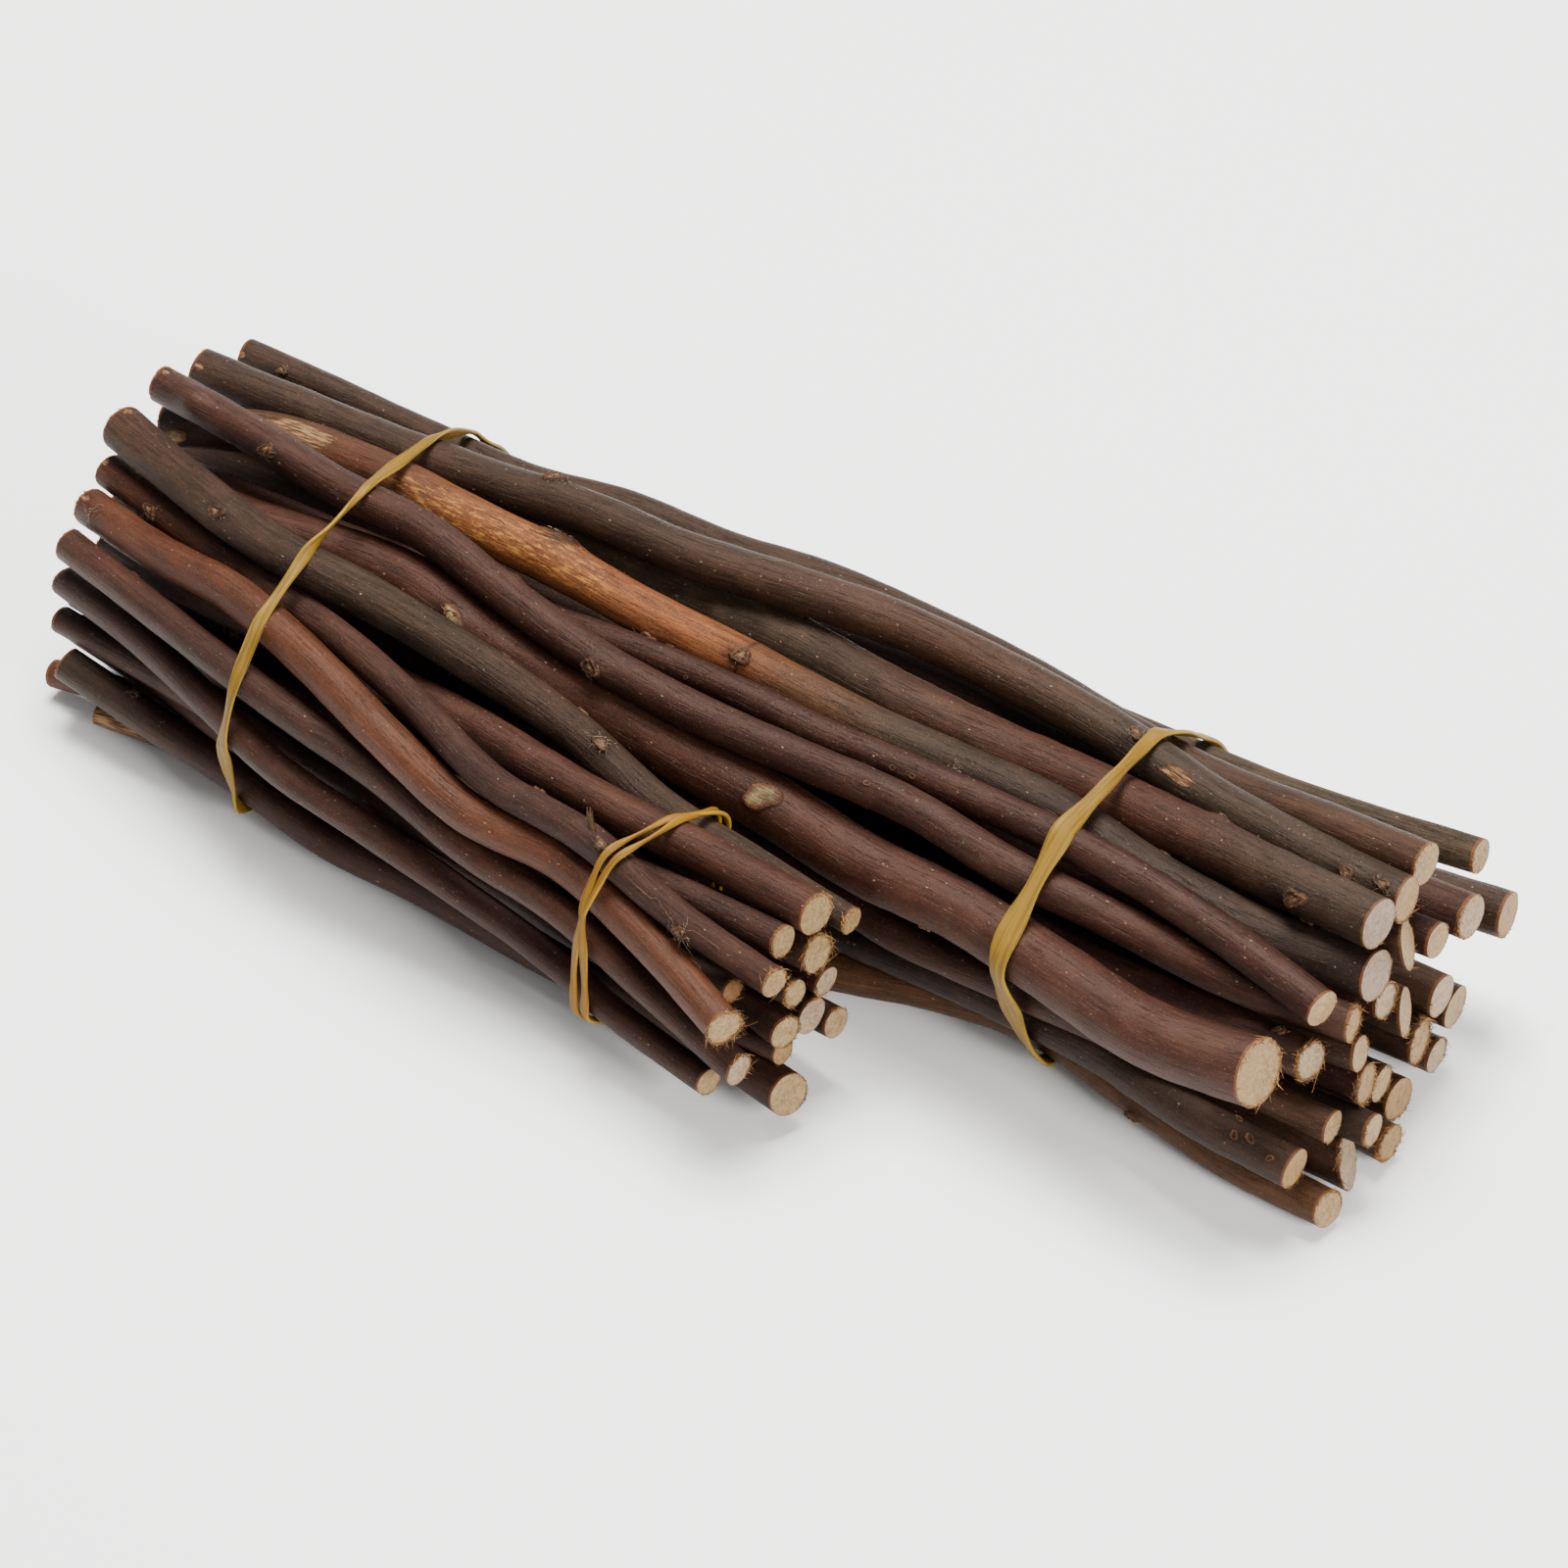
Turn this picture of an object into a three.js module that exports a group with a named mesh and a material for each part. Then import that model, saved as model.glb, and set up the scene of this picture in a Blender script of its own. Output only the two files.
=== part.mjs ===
// A tied bundle of cut twigs, lying on its side: long twigs at the back, short ones in front,
// and three rubber bands.
// Millimetres, +Z up, +X along the long twigs towards their cut ends, +Y to the back.
import * as THREE from "three";

// Driving dimensions, in millimetres
const LONG_LENGTH = 300;
const BAND_THICKNESS = 1.2;
const WIDE_BAND = 3.4;
const NARROW_BAND = 1.8;
const GAP = 0.3;
const FLOOR = BAND_THICKNESS + GAP; // the bands lie under the lowest twigs

// How finely the faceted twigs and bands are made
const SIDES = 8;
const LONG_SEGMENTS = 12;
const SHORT_SEGMENTS = 8;
const BAND_ARC_POINTS = 20; // round each twig that a band touches
const OUTLINE_TOLERANCE = 0.05; // square millimetres: flatter corners are left out of a band's outline
const FLAT_REACH = 0.05; // presses a band flat where its twigs are lowest

// How the heap is settled
const ROUNDS = 700;
const CHECK_STEP = 6;
const END_REACH = 3;
const TRACE_PULL = 0.5;
const ROUTE_PULL = 0.02;
const END_PULL = 0.3; // on the cut end of a twig whose route is hidden
const STIFFNESS = 0.06;
const SAG = 0.06; // millimetres that a hidden twig drops in a round
const START_SIZE = 0.45; // the twigs swell from this share of their size, so that none is caught
const CALM_SHARE = 0.3; // the last share of the rounds only pushes the twigs apart

// The view from which the routes were traced, in degrees, millimetres and pixels of a 1600 pixel picture
const PICTURE_MIDDLE = 800;
const REFERENCE_TWIG_PIXELS = 1346; // long_twig_03, from end to end
const VIEW = viewFrom({ azimuth: 32.2, elevation: 42.5, distance: 2000, target: [135, 72.3, -11.7] });

// Each twig has its diameters, evenly spaced from its left end to its right end. Its route is traced in
// the picture as pixels [u, v], from left to right, and "heights" are the millimetres above the table
// along it. A stretch that other twigs hide is given first, as points [x, y, z] in millimetres.
const LONG_TWIGS = [
  {
    diameters: [8, 7.4],
    hidden: [[2, 84, 26], [100, 88, 30]],
    seen: [[1293, 812], [1340, 824], [1400, 840], [1511, 874]],
    heights: [48, 46],
  },
  {
    diameters: [7, 7.3, 7.6, 8.2, 9],
    seen: [
      [252, 361], [319, 391], [414, 435], [462, 456], [543, 493], [652, 521], [761, 568], [848, 593],
      [914, 620], [1001, 664], [1088, 708], [1152, 750], [1226, 790], [1290, 823], [1380, 848],
      [1455, 882],
    ],
    heights: [44, 46, 48, 49, 50, 51, 54, 58],
  },
  {
    diameters: [8.6, 9.3, 9.6, 9.6, 9.5],
    seen: [
      [204, 375], [223, 385], [287, 410], [351, 435], [414, 461], [480, 486], [569, 510], [659, 549],
      [735, 583], [812, 603], [878, 626], [916, 636], [993, 673], [1070, 709], [1146, 755], [1197, 795],
      [1262, 837], [1374, 888], [1435, 920],
    ],
    heights: [52, 54, 56, 56, 57, 57, 57],
  },
  {
    diameters: [8.5, 9.3],
    hidden: [[0, 76, 34], [150, 74, 36], [172, 69, 44]],
    seen: [[1501, 936]],
    heights: [38],
  },
  { diameters: [9.5, 9.8], hidden: [[4, 80, 15], [150, 84, 16]], seen: [[1539, 934]], heights: [28] },
  { diameters: [8, 7.7], hidden: [[-2, 66, 36], [150, 60, 40]], seen: [[1467, 960]], heights: [42] },
  {
    diameters: [11, 12, 12.4, 11.4, 10.6],
    hidden: [[2, 62, 42], [60, 62, 44]],
    seen: [
      [600, 560], [684, 600], [731, 626], [786, 646], [837, 667], [878, 692], [916, 718], [993, 753],
      [1070, 785], [1150, 826], [1226, 860], [1303, 899], [1367, 924], [1407, 943],
    ],
    heights: [50, 52, 54, 55, 56],
  },
  { diameters: [9, 9.5], hidden: [[0, 52, 36], [150, 48, 44]], seen: [[1437, 963]], heights: [48] },
  {
    diameters: [9, 10.4, 9.8, 10.2, 11],
    seen: [
      [170, 434], [271, 440], [319, 459], [383, 480], [480, 532], [556, 567], [608, 600], [659, 626],
      [710, 654], [756, 674], [812, 703], [863, 731], [916, 761], [975, 782], [1019, 797], [1082, 828],
      [1121, 846], [1172, 879], [1201, 909], [1267, 937], [1329, 975], [1405, 996],
    ],
    heights: [46, 54, 56, 54, 52, 50, 47],
  },
  { diameters: [8, 7.7], hidden: [[3, 42, 30], [150, 40, 36]], seen: [[1414, 1021]], heights: [37] },
  { diameters: [8.5, 9.5], hidden: [[0, 58, 26], [150, 52, 30]], seen: [[1434, 1032]], heights: [33] },
  { diameters: [9, 9.1], hidden: [[-2, 68, 24], [150, 66, 26]], seen: [[1471, 1017]], heights: [25] },
  { diameters: [9, 9.4], hidden: [[1, 70, 14], [150, 72, 15]], seen: [[1485, 1028]], heights: [16] },
  { diameters: [9, 9.7], hidden: [[0, 58, 16], [150, 58, 18]], seen: [[1449, 1063]], heights: [19] },
  { diameters: [8.5, 7.8], hidden: [[3, 68, 6], [150, 67, 6]], seen: [[1466, 1077]], heights: [8] },
  {
    diameters: [6.6, 6.8, 7, 7.9],
    hidden: [[3, 40, 44], [60, 34, 48]],
    seen: [
      [610, 645], [659, 669], [710, 687], [761, 710], [812, 736], [863, 761], [909, 779], [955, 797],
      [1006, 818], [1057, 843], [1108, 871], [1172, 899], [1201, 924], [1252, 957], [1303, 990],
      [1349, 1030],
    ],
    heights: [52, 54, 54, 51, 47],
  },
  {
    diameters: [8, 8.2, 8.2, 8, 7.6],
    seen: [
      [165, 392], [198, 405], [239, 428], [274, 459], [319, 485], [367, 507], [414, 533], [462, 555],
      [500, 587], [523, 613], [569, 639], [602, 669], [659, 700], [710, 728], [773, 754], [837, 784],
      [885, 800], [942, 830], [993, 861], [1034, 889], [1070, 915], [1130, 935], [1181, 963],
      [1232, 986], [1283, 1017], [1381, 1045],
    ],
    heights: [57, 60, 59, 57, 55, 50, 42],
  },
  {
    diameters: [8, 8.3],
    hidden: [[2, 30, 32], [150, 20, 34]],
    seen: [[1306, 1052], [1337, 1083]],
    heights: [36, 36],
  },
  {
    diameters: [10.5, 12, 12.6, 12.6, 14.2],
    hidden: [[4, 30, 42]],
    seen: [
      [250, 540], [380, 571], [453, 612], [523, 670], [582, 705], [633, 733], [684, 764], [735, 784],
      [777, 815], [819, 843], [870, 876], [921, 904], [972, 927], [1023, 947], [1053, 973],
      [1091, 1004], [1130, 1037], [1181, 1060], [1232, 1075], [1284, 1095],
    ],
    heights: [48, 49, 48, 44, 41, 41],
  },
  { diameters: [7.5, 7.5], hidden: [[-3, 34, 22], [150, 26, 28]], seen: [[1388, 1076]], heights: [33] },
  { diameters: [8, 8.5], hidden: [[2, 44, 20], [150, 34, 24]], seen: [[1394, 1106]], heights: [25] },
  { diameters: [8, 8.1], hidden: [[0, 50, 12], [150, 42, 17]], seen: [[1410, 1106]], heights: [18] },
  { diameters: [8.5, 9.2], hidden: [[3, 58, 6], [150, 55, 6]], seen: [[1427, 1122]], heights: [8] },
  { diameters: [7, 7], hidden: [[0, 36, 13], [150, 27, 16]], seen: [[1401, 1154]], heights: [19] },
  { diameters: [8, 8.2], hidden: [[2, 48, 6], [150, 45, 6]], seen: [[1418, 1167]], heights: [6] },
  {
    diameters: [8.5, 6.9],
    hidden: [[0, 22, 26]],
    seen: [
      [681, 810], [742, 843], [806, 879], [857, 917], [921, 958], [972, 981], [1018, 1001], [1360, 1150],
    ],
    heights: [32, 30, 27, 22],
  },
  { diameters: [9.5, 10.8], hidden: [[2, 38, 6], [150, 34, 7]], seen: [[1375, 1185]], heights: [9] },
  {
    diameters: [8, 8.6],
    hidden: [[0, 27, 15]],
    seen: [
      [870, 950], [943, 990], [1008, 1015], [1069, 1042], [1119, 1071], [1164, 1099], [1205, 1130],
      [1249, 1160], [1321, 1193],
    ],
    heights: [17, 17, 17],
  },
  {
    diameters: [4.5, 8, 8.4, 8.6, 8.1],
    seen: [
      [99, 728], [182, 754], [852, 992], [922, 1006], [962, 1011], [1000, 1016], [1040, 1030],
      [1074, 1052], [1120, 1080], [1153, 1111], [1190, 1140], [1250, 1180], [1355, 1234],
    ],
    heights: [6, 6, 6],
  },
];

const SHORT_TWIGS = [
  {
    diameters: [7.5, 8.8],
    hidden: [[2, 22, 34]],
    seen: [
      [430, 708], [496, 750], [554, 784], [611, 819], [659, 840], [687, 856], [751, 888], [814, 920],
      [832, 935],
    ],
    heights: [44, 46, 48],
  },
  {
    diameters: [9.8, 9.3, 9, 8.2, 5.8],
    seen: [
      [125, 437], [175, 479], [223, 523], [271, 558], [319, 587], [367, 606], [414, 628], [453, 654],
      [523, 702], [587, 746], [639, 799], [671, 824], [869, 940],
    ],
    heights: [56, 58, 52, 46, 42],
  },
  {
    diameters: [6.5, 7],
    hidden: [[0, 10, 26]],
    seen: [[655, 900], [687, 910], [735, 930], [783, 952], [799, 961]],
    heights: [44, 46],
  },
  { diameters: [7.5, 8.4], hidden: [[0, 14, 18], [100, -2, 30]], seen: [[834, 973]], heights: [39] },
  {
    diameters: [7.6, 7, 7, 6.5],
    seen: [
      [113, 481], [159, 517], [207, 552], [255, 584], [303, 619], [351, 654], [383, 683], [430, 724],
      [478, 766], [496, 796], [543, 827], [598, 856], [639, 894], [687, 930], [735, 961], [776, 990],
      [791, 1002],
    ],
    heights: [47, 57, 54, 48, 37],
  },
  { diameters: [6, 6], hidden: [[-3, 5, 6.5], [100, -4, 22]], seen: [[811, 1015]], heights: [32] },
  { diameters: [6.5, 6.5], hidden: [[-2, 28, 40], [100, 6, 34]], seen: [[843, 1002]], heights: [31] },
  { diameters: [6, 5], hidden: [[0, 8, 22], [100, -18, 32]], seen: [[747, 1011]], heights: [32] },
  { diameters: [7, 7.3], hidden: [[4, 17, 6.5], [100, -8, 14]], seen: [[803, 1050]], heights: [25] },
  { diameters: [8, 8], hidden: [[1, 24, 18], [100, 4, 22]], seen: [[826, 1041]], heights: [24] },
  { diameters: [7, 6.8], hidden: [[3, 29, 7], [100, 8, 12]], seen: [[853, 1044]], heights: [17] },
  {
    diameters: [8.2, 8.4, 8.6, 8],
    seen: [
      [92, 517], [143, 552], [191, 584], [239, 606], [274, 622], [297, 651], [335, 696], [376, 737],
      [424, 782], [448, 812], [496, 840], [559, 863], [598, 894], [639, 936], [687, 987], [719, 1022],
      [739, 1049],
    ],
    heights: [43, 56, 50, 44, 33],
  },
  {
    diameters: [6.4, 5.4],
    seen: [[81, 641], [127, 676], [175, 712], [217, 740], [799, 1073]],
    heights: [15, 20, 20, 18],
  },
  {
    diameters: [7.2, 6.9],
    seen: [
      [70, 556], [112, 587], [159, 625], [207, 660], [230, 683], [271, 708], [319, 747], [383, 788],
      [446, 836], [464, 859], [527, 898], [585, 936], [623, 974], [671, 1016], [719, 1060], [754, 1092],
    ],
    heights: [39, 48, 40, 30, 20],
  },
  {
    diameters: [7.4, 7.6, 8, 9.2],
    seen: [
      [68, 676], [127, 712], [191, 750], [221, 771], [250, 797], [283, 825], [332, 857], [388, 888],
      [443, 910], [489, 936], [519, 955], [579, 987], [745, 1072], [805, 1117],
    ],
    heights: [14, 9, 7, 8, 10],
  },
  {
    diameters: [7, 6],
    seen: [
      [68, 593], [105, 620], [159, 664], [198, 699], [223, 734], [255, 756], [287, 791], [351, 830],
      [414, 874], [464, 907], [527, 949], [591, 1003], [639, 1044], [687, 1083], [723, 1104],
    ],
    heights: [30, 37, 26, 18, 12],
  },
];

// A band lies in the plane x = at + skew * y + lean * z, round the twigs that it holds.
const BANDS = [
  { name: "band_left", holds: ["long", "short"], at: 54, skew: 0, lean: 0.08, width: WIDE_BAND },
  { name: "band_long", holds: ["long"], at: 232, skew: 0.04, lean: -0.03, width: WIDE_BAND },
  { name: "band_short", holds: ["short"], at: 161, skew: 0.28, lean: 0, width: 2 * NARROW_BAND },
];

function viewFrom({ azimuth, elevation, distance, target }) {
  const a = THREE.MathUtils.degToRad(azimuth);
  const e = THREE.MathUtils.degToRad(elevation);
  const back = new THREE.Vector3(Math.sin(a) * Math.cos(e), -Math.cos(a) * Math.cos(e), Math.sin(e));
  const right = new THREE.Vector3(Math.cos(a), Math.sin(a), 0);
  const up = new THREE.Vector3().crossVectors(back, right);
  const eye = new THREE.Vector3(...target).addScaledVector(back, distance);
  const shortening = Math.sqrt(1 - back.x * back.x); // of a length along +X
  const focal = (distance * REFERENCE_TWIG_PIXELS) / (LONG_LENGTH * shortening);
  return { back, right, up, eye, focal };
}

// The point that a pixel of the picture shows, at a given height above the table.
function pointSeen(u, v, height) {
  const line = VIEW.back.clone().negate();
  line.addScaledVector(VIEW.right, (u - PICTURE_MIDDLE) / VIEW.focal);
  line.addScaledVector(VIEW.up, -(v - PICTURE_MIDDLE) / VIEW.focal);
  return line.multiplyScalar((height - VIEW.eye.z) / line.z).add(VIEW.eye);
}

// Where a point lies in the picture, and how many pixels a millimetre is there.
function pixelOf(point) {
  const offset = point.clone().sub(VIEW.eye);
  const scale = VIEW.focal / -offset.dot(VIEW.back);
  return {
    u: PICTURE_MIDDLE + scale * offset.dot(VIEW.right),
    v: PICTURE_MIDDLE - scale * offset.dot(VIEW.up),
    scale,
  };
}

// A value read along an evenly spaced list, at a share from 0 to 1 of its length.
function valueAlong(list, share) {
  const place = THREE.MathUtils.clamp(share, 0, 1) * (list.length - 1);
  const index = Math.min(Math.floor(place), list.length - 2);
  return list.length === 1 ? list[0] : THREE.MathUtils.lerp(list[index], list[index + 1], place - index);
}

// A twig as a chain of nodes at even steps along X, with y and z on its route.
function layTwig({ diameters, hidden = [], seen, heights }, segments) {
  const start = seen[0][0];
  const reach = seen[seen.length - 1][0] - start || 1;
  const traced = seen.map(([u, v]) => pointSeen(u, v, valueAlong(heights, (u - start) / reach)));
  const route = [...hidden.map((p) => new THREE.Vector3(...p)), ...traced];
  const first = route[0].x;
  const last = route[route.length - 1].x;
  const nodes = [];
  for (let i = 0; i <= segments; i++) {
    const x = THREE.MathUtils.lerp(first, last, i / segments);
    const after = Math.min(Math.max(route.findIndex((p) => p.x >= x), 1), route.length - 1);
    const [a, b] = [route[after - 1], route[after]];
    const point = a.clone().lerp(b, THREE.MathUtils.clamp((x - a.x) / (b.x - a.x), 0, 1));
    point.x = x;
    const radius = valueAlong(diameters, i / segments) / 2;
    const isTraced = x >= traced[0].x - 1 && traced.length > 1;
    const isHeld = i === segments && !isTraced;
    nodes.push({ x, y: point.y, z: point.z, radius, home: point, isTraced, isHeld });
  }
  return { nodes, seen, first, last, isStartHidden: hidden.length > 0 };
}

// The two nodes on either side of x, and how far x is from one to the other.
function spanAt(twig, x) {
  const count = twig.nodes.length - 1;
  const place = (THREE.MathUtils.clamp(x, twig.first, twig.last) - twig.first) / (twig.last - twig.first);
  const index = Math.min(Math.floor(place * count), count - 1);
  return { a: twig.nodes[index], b: twig.nodes[index + 1], t: place * count - index };
}

// A twig's cut through the plane at x. A slanting twig's cut is wider than the twig.
function cutAt(twig, x) {
  const { a, b, t } = spanAt(twig, x);
  const run = b.x - a.x;
  const slant = Math.hypot(run, b.y - a.y, b.z - a.z) / run;
  return {
    a,
    b,
    t,
    y: THREE.MathUtils.lerp(a.y, b.y, t),
    z: THREE.MathUtils.lerp(a.z, b.z, t),
    radius: THREE.MathUtils.lerp(a.radius, b.radius, t) * slant,
  };
}

function shift({ a, b, t }, dy, dz) {
  const share = (1 - t) * (1 - t) + t * t;
  a.y += (dy * (1 - t)) / share;
  a.z += (dz * (1 - t)) / share;
  b.y += (dy * t) / share;
  b.z += (dz * t) / share;
}

// Moves a node so that it lies on its twig's traced line in the picture.
function pullToTrace(node, seen) {
  const at = pixelOf(new THREE.Vector3(node.x, node.y, node.z));
  let nearest = null;
  for (let i = 1; i < seen.length; i++) {
    const [u0, v0] = seen[i - 1];
    const [du, dv] = [seen[i][0] - u0, seen[i][1] - v0];
    const along = THREE.MathUtils.clamp(((at.u - u0) * du + (at.v - v0) * dv) / (du * du + dv * dv), 0, 1);
    const miss = Math.hypot(u0 + along * du - at.u, v0 + along * dv - at.v);
    if (nearest === null || miss < nearest.miss) nearest = { miss, u0, v0, du, dv };
  }
  const length = Math.hypot(nearest.du, nearest.dv);
  const normal = [-nearest.dv / length, nearest.du / length];
  const error = (nearest.u0 - at.u) * normal[0] + (nearest.v0 - at.v) * normal[1];
  const perY = at.scale * (normal[0] * VIEW.right.y - normal[1] * VIEW.up.y);
  const perZ = at.scale * -normal[1] * VIEW.up.z;
  const step = (TRACE_PULL * error) / (perY * perY + perZ * perZ);
  node.y += step * perY;
  node.z += step * perZ;
}

// How far along X a twig's end is from the pixel where its end is seen.
function missAlongX({ x, y, z }, [u, v]) {
  const at = pixelOf(new THREE.Vector3(x, y, z));
  const [du, dv] = [at.scale * VIEW.right.x, -at.scale * VIEW.up.x];
  return ((u - at.u) * du + (v - at.v) * dv) / (du * du + dv * dv);
}

// Moves a twig's ends along X to where they are seen, and spreads its nodes evenly again.
function trimEnds(twig) {
  const { nodes, seen } = twig;
  twig.last += TRACE_PULL * missAlongX(nodes.at(-1), seen.at(-1));
  if (!twig.isStartHidden) twig.first += TRACE_PULL * missAlongX(nodes[0], seen[0]);
  for (const [i, node] of nodes.entries()) {
    node.x = THREE.MathUtils.lerp(twig.first, twig.last, i / (nodes.length - 1));
  }
}

function pushApart(twigs, size) {
  const low = Math.min(...twigs.map((twig) => twig.first)) - END_REACH;
  const high = Math.max(...twigs.map((twig) => twig.last)) + END_REACH;
  let worst = 0;
  for (let x = low; x <= high; x += CHECK_STEP) {
    const cuts = twigs
      .filter((twig) => x >= twig.first - END_REACH && x <= twig.last + END_REACH)
      .map((twig) => cutAt(twig, x));
    for (const [i, p] of cuts.entries()) {
      for (const q of cuts.slice(i + 1)) {
        const dy = q.y - p.y;
        const dz = q.z - p.z;
        const apart = Math.hypot(dy, dz) || 1e-6;
        const overlap = (p.radius + q.radius + GAP) * size - apart;
        if (overlap <= 0) continue;
        worst = Math.max(worst, overlap);
        const push = (overlap / apart) * 0.5;
        shift(p, -dy * push, -dz * push);
        shift(q, dy * push, dz * push);
        p.y -= dy * push;
        p.z -= dz * push;
        q.y += dy * push;
        q.z += dz * push;
      }
    }
  }
  return worst;
}

function settle(twigs) {
  for (let round = 0; round < ROUNDS; round++) {
    const progress = round / ROUNDS;
    const size = Math.min(1, THREE.MathUtils.lerp(START_SIZE, 1, progress * 2));
    const isCalm = progress > 1 - CALM_SHARE;
    for (const twig of twigs) {
      const { nodes, seen } = twig;
      if (!isCalm) trimEnds(twig);
      for (const [i, node] of nodes.entries()) {
        if (!isCalm) {
          const pull = node.isHeld ? END_PULL : ROUTE_PULL;
          node.y += (node.home.y - node.y) * pull;
          node.z += (node.home.z - node.z) * pull;
          if (i > 0 && i < nodes.length - 1) {
            node.y += ((nodes[i - 1].y + nodes[i + 1].y) / 2 - node.y) * STIFFNESS;
            node.z += ((nodes[i - 1].z + nodes[i + 1].z) / 2 - node.z) * STIFFNESS;
          }
          if (node.isTraced) pullToTrace(node, seen);
          else if (!node.isHeld) node.z -= SAG;
        }
        node.z = Math.max(node.z, node.radius + FLOOR);
      }
    }
    const worst = pushApart(twigs, size);
    if (isCalm && worst < GAP * 0.3) break;
  }
  for (const { nodes } of twigs) for (const node of nodes) node.z = Math.max(node.z, node.radius + FLOOR);
}

// A closed tube through the nodes, made from a cylinder whose rings move to the nodes.
function twigGeometry(nodes) {
  const segments = nodes.length - 1;
  const geometry = new THREE.CylinderGeometry(1, 1, 1, SIDES, segments);
  const position = geometry.attributes.position;
  const centres = nodes.map((node) => new THREE.Vector3(node.x, node.y, node.z));
  const vertex = new THREE.Vector3();
  for (let i = 0; i < position.count; i++) {
    vertex.fromBufferAttribute(position, i);
    const ring = Math.round((vertex.y + 0.5) * segments);
    const next = centres[Math.min(ring + 1, segments)];
    const previous = centres[Math.max(ring - 1, 0)];
    const along = next.clone().sub(previous).normalize();
    const across = new THREE.Vector3(0, 0, 1).cross(along).normalize();
    const upward = along.clone().cross(across);
    const place = centres[ring].clone();
    place.addScaledVector(across, vertex.z * nodes[ring].radius);
    place.addScaledVector(upward, vertex.x * nodes[ring].radius);
    position.setXYZ(i, place.x, place.y, place.z);
  }
  return geometry;
}

// The point of a twig's middle line that lies in a band's plane, moved along X by offset.
function cutByBand(twig, { at, skew, lean }, offset) {
  let cut = cutAt(twig, at);
  for (let i = 0; i < 4; i++) cut = cutAt(twig, at + offset + skew * cut.y + lean * cut.z);
  return cut;
}

// The convex outline of a set of points [y, z], counter-clockwise.
function convexOutline(points) {
  const sorted = [...points].sort((p, q) => p[0] - q[0] || p[1] - q[1]);
  const turn = (o, p, q) => (p[0] - o[0]) * (q[1] - o[1]) - (p[1] - o[1]) * (q[0] - o[0]);
  const half = (list) => {
    const chain = [];
    for (const p of list) {
      while (chain.length > 1 && turn(chain.at(-2), chain.at(-1), p) <= OUTLINE_TOLERANCE) chain.pop();
      chain.push(p);
    }
    return chain.slice(0, -1);
  };
  return [...half(sorted), ...half(sorted.reverse())];
}

// The outline of a band's inner or outer side: round all its twigs at a distance, and flat where it
// meets the table.
function bandOutline(cuts, distance, table) {
  const points = cuts.flatMap(({ y, z, radius }) =>
    Array.from({ length: BAND_ARC_POINTS }, (_, i) => {
      const angle = (2 * Math.PI * i) / BAND_ARC_POINTS;
      const reach = radius + distance;
      return [y + reach * Math.cos(angle), Math.max(z + reach * Math.sin(angle), table)];
    }),
  );
  return convexOutline(points).map(([y, z]) => new THREE.Vector2(y, z));
}

// A closed flat loop round the twigs: the outline extruded by the band's width, then leaned into the
// band's plane.
function bandGeometry(band, twigs) {
  const offsets = [-band.width / 2, 0, band.width / 2];
  const cuts = twigs.flatMap((twig) => offsets.map((offset) => cutByBand(twig, band, offset)));
  const shape = new THREE.Shape(bandOutline(cuts, GAP + BAND_THICKNESS + FLAT_REACH, 0));
  shape.holes.push(new THREE.Path(bandOutline(cuts, GAP + FLAT_REACH, BAND_THICKNESS).reverse()));
  const geometry = new THREE.ExtrudeGeometry(shape, { depth: band.width, bevelEnabled: false });
  const position = geometry.attributes.position;
  for (let i = 0; i < position.count; i++) {
    const [y, z, along] = [position.getX(i), position.getY(i), position.getZ(i) - band.width / 2];
    position.setXYZ(i, band.at + along + band.skew * y + band.lean * z, y, z);
  }
  return geometry;
}

const bark = new THREE.MeshStandardMaterial({ color: 0x5a3c30, roughness: 0.75, metalness: 0 });
const rubber = new THREE.MeshStandardMaterial({ color: 0xb9963c, roughness: 0.5, metalness: 0 });

const longTwigs = LONG_TWIGS.map((twig) => layTwig(twig, LONG_SEGMENTS));
const shortTwigs = SHORT_TWIGS.map((twig) => layTwig(twig, SHORT_SEGMENTS));
settle([...longTwigs, ...shortTwigs]);

const bundle = new THREE.Group();
for (const [name, twigs] of [["long_twig", longTwigs], ["short_twig", shortTwigs]]) {
  for (const [i, twig] of twigs.entries()) {
    const mesh = new THREE.Mesh(twigGeometry(twig.nodes), bark);
    mesh.name = `${name}_${String(i + 1).padStart(2, "0")}`;
    bundle.add(mesh);
  }
}

for (const band of BANDS) {
  const held = band.holds.flatMap((kind) => (kind === "long" ? longTwigs : shortTwigs));
  const mesh = new THREE.Mesh(bandGeometry(band, held), rubber);
  mesh.name = band.name;
  bundle.add(mesh);
}

// The origin is on the table, under the middle of the bundle's box.
const box = new THREE.Box3().setFromObject(bundle);
const middle = box.getCenter(new THREE.Vector3());
bundle.position.set(-middle.x, -middle.y, -box.min.z);

export default bundle;
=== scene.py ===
"""The looks of a tied bundle of cut twigs: bark, knots, cut ends, loose fibres and rubber bands."""
import math

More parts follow.
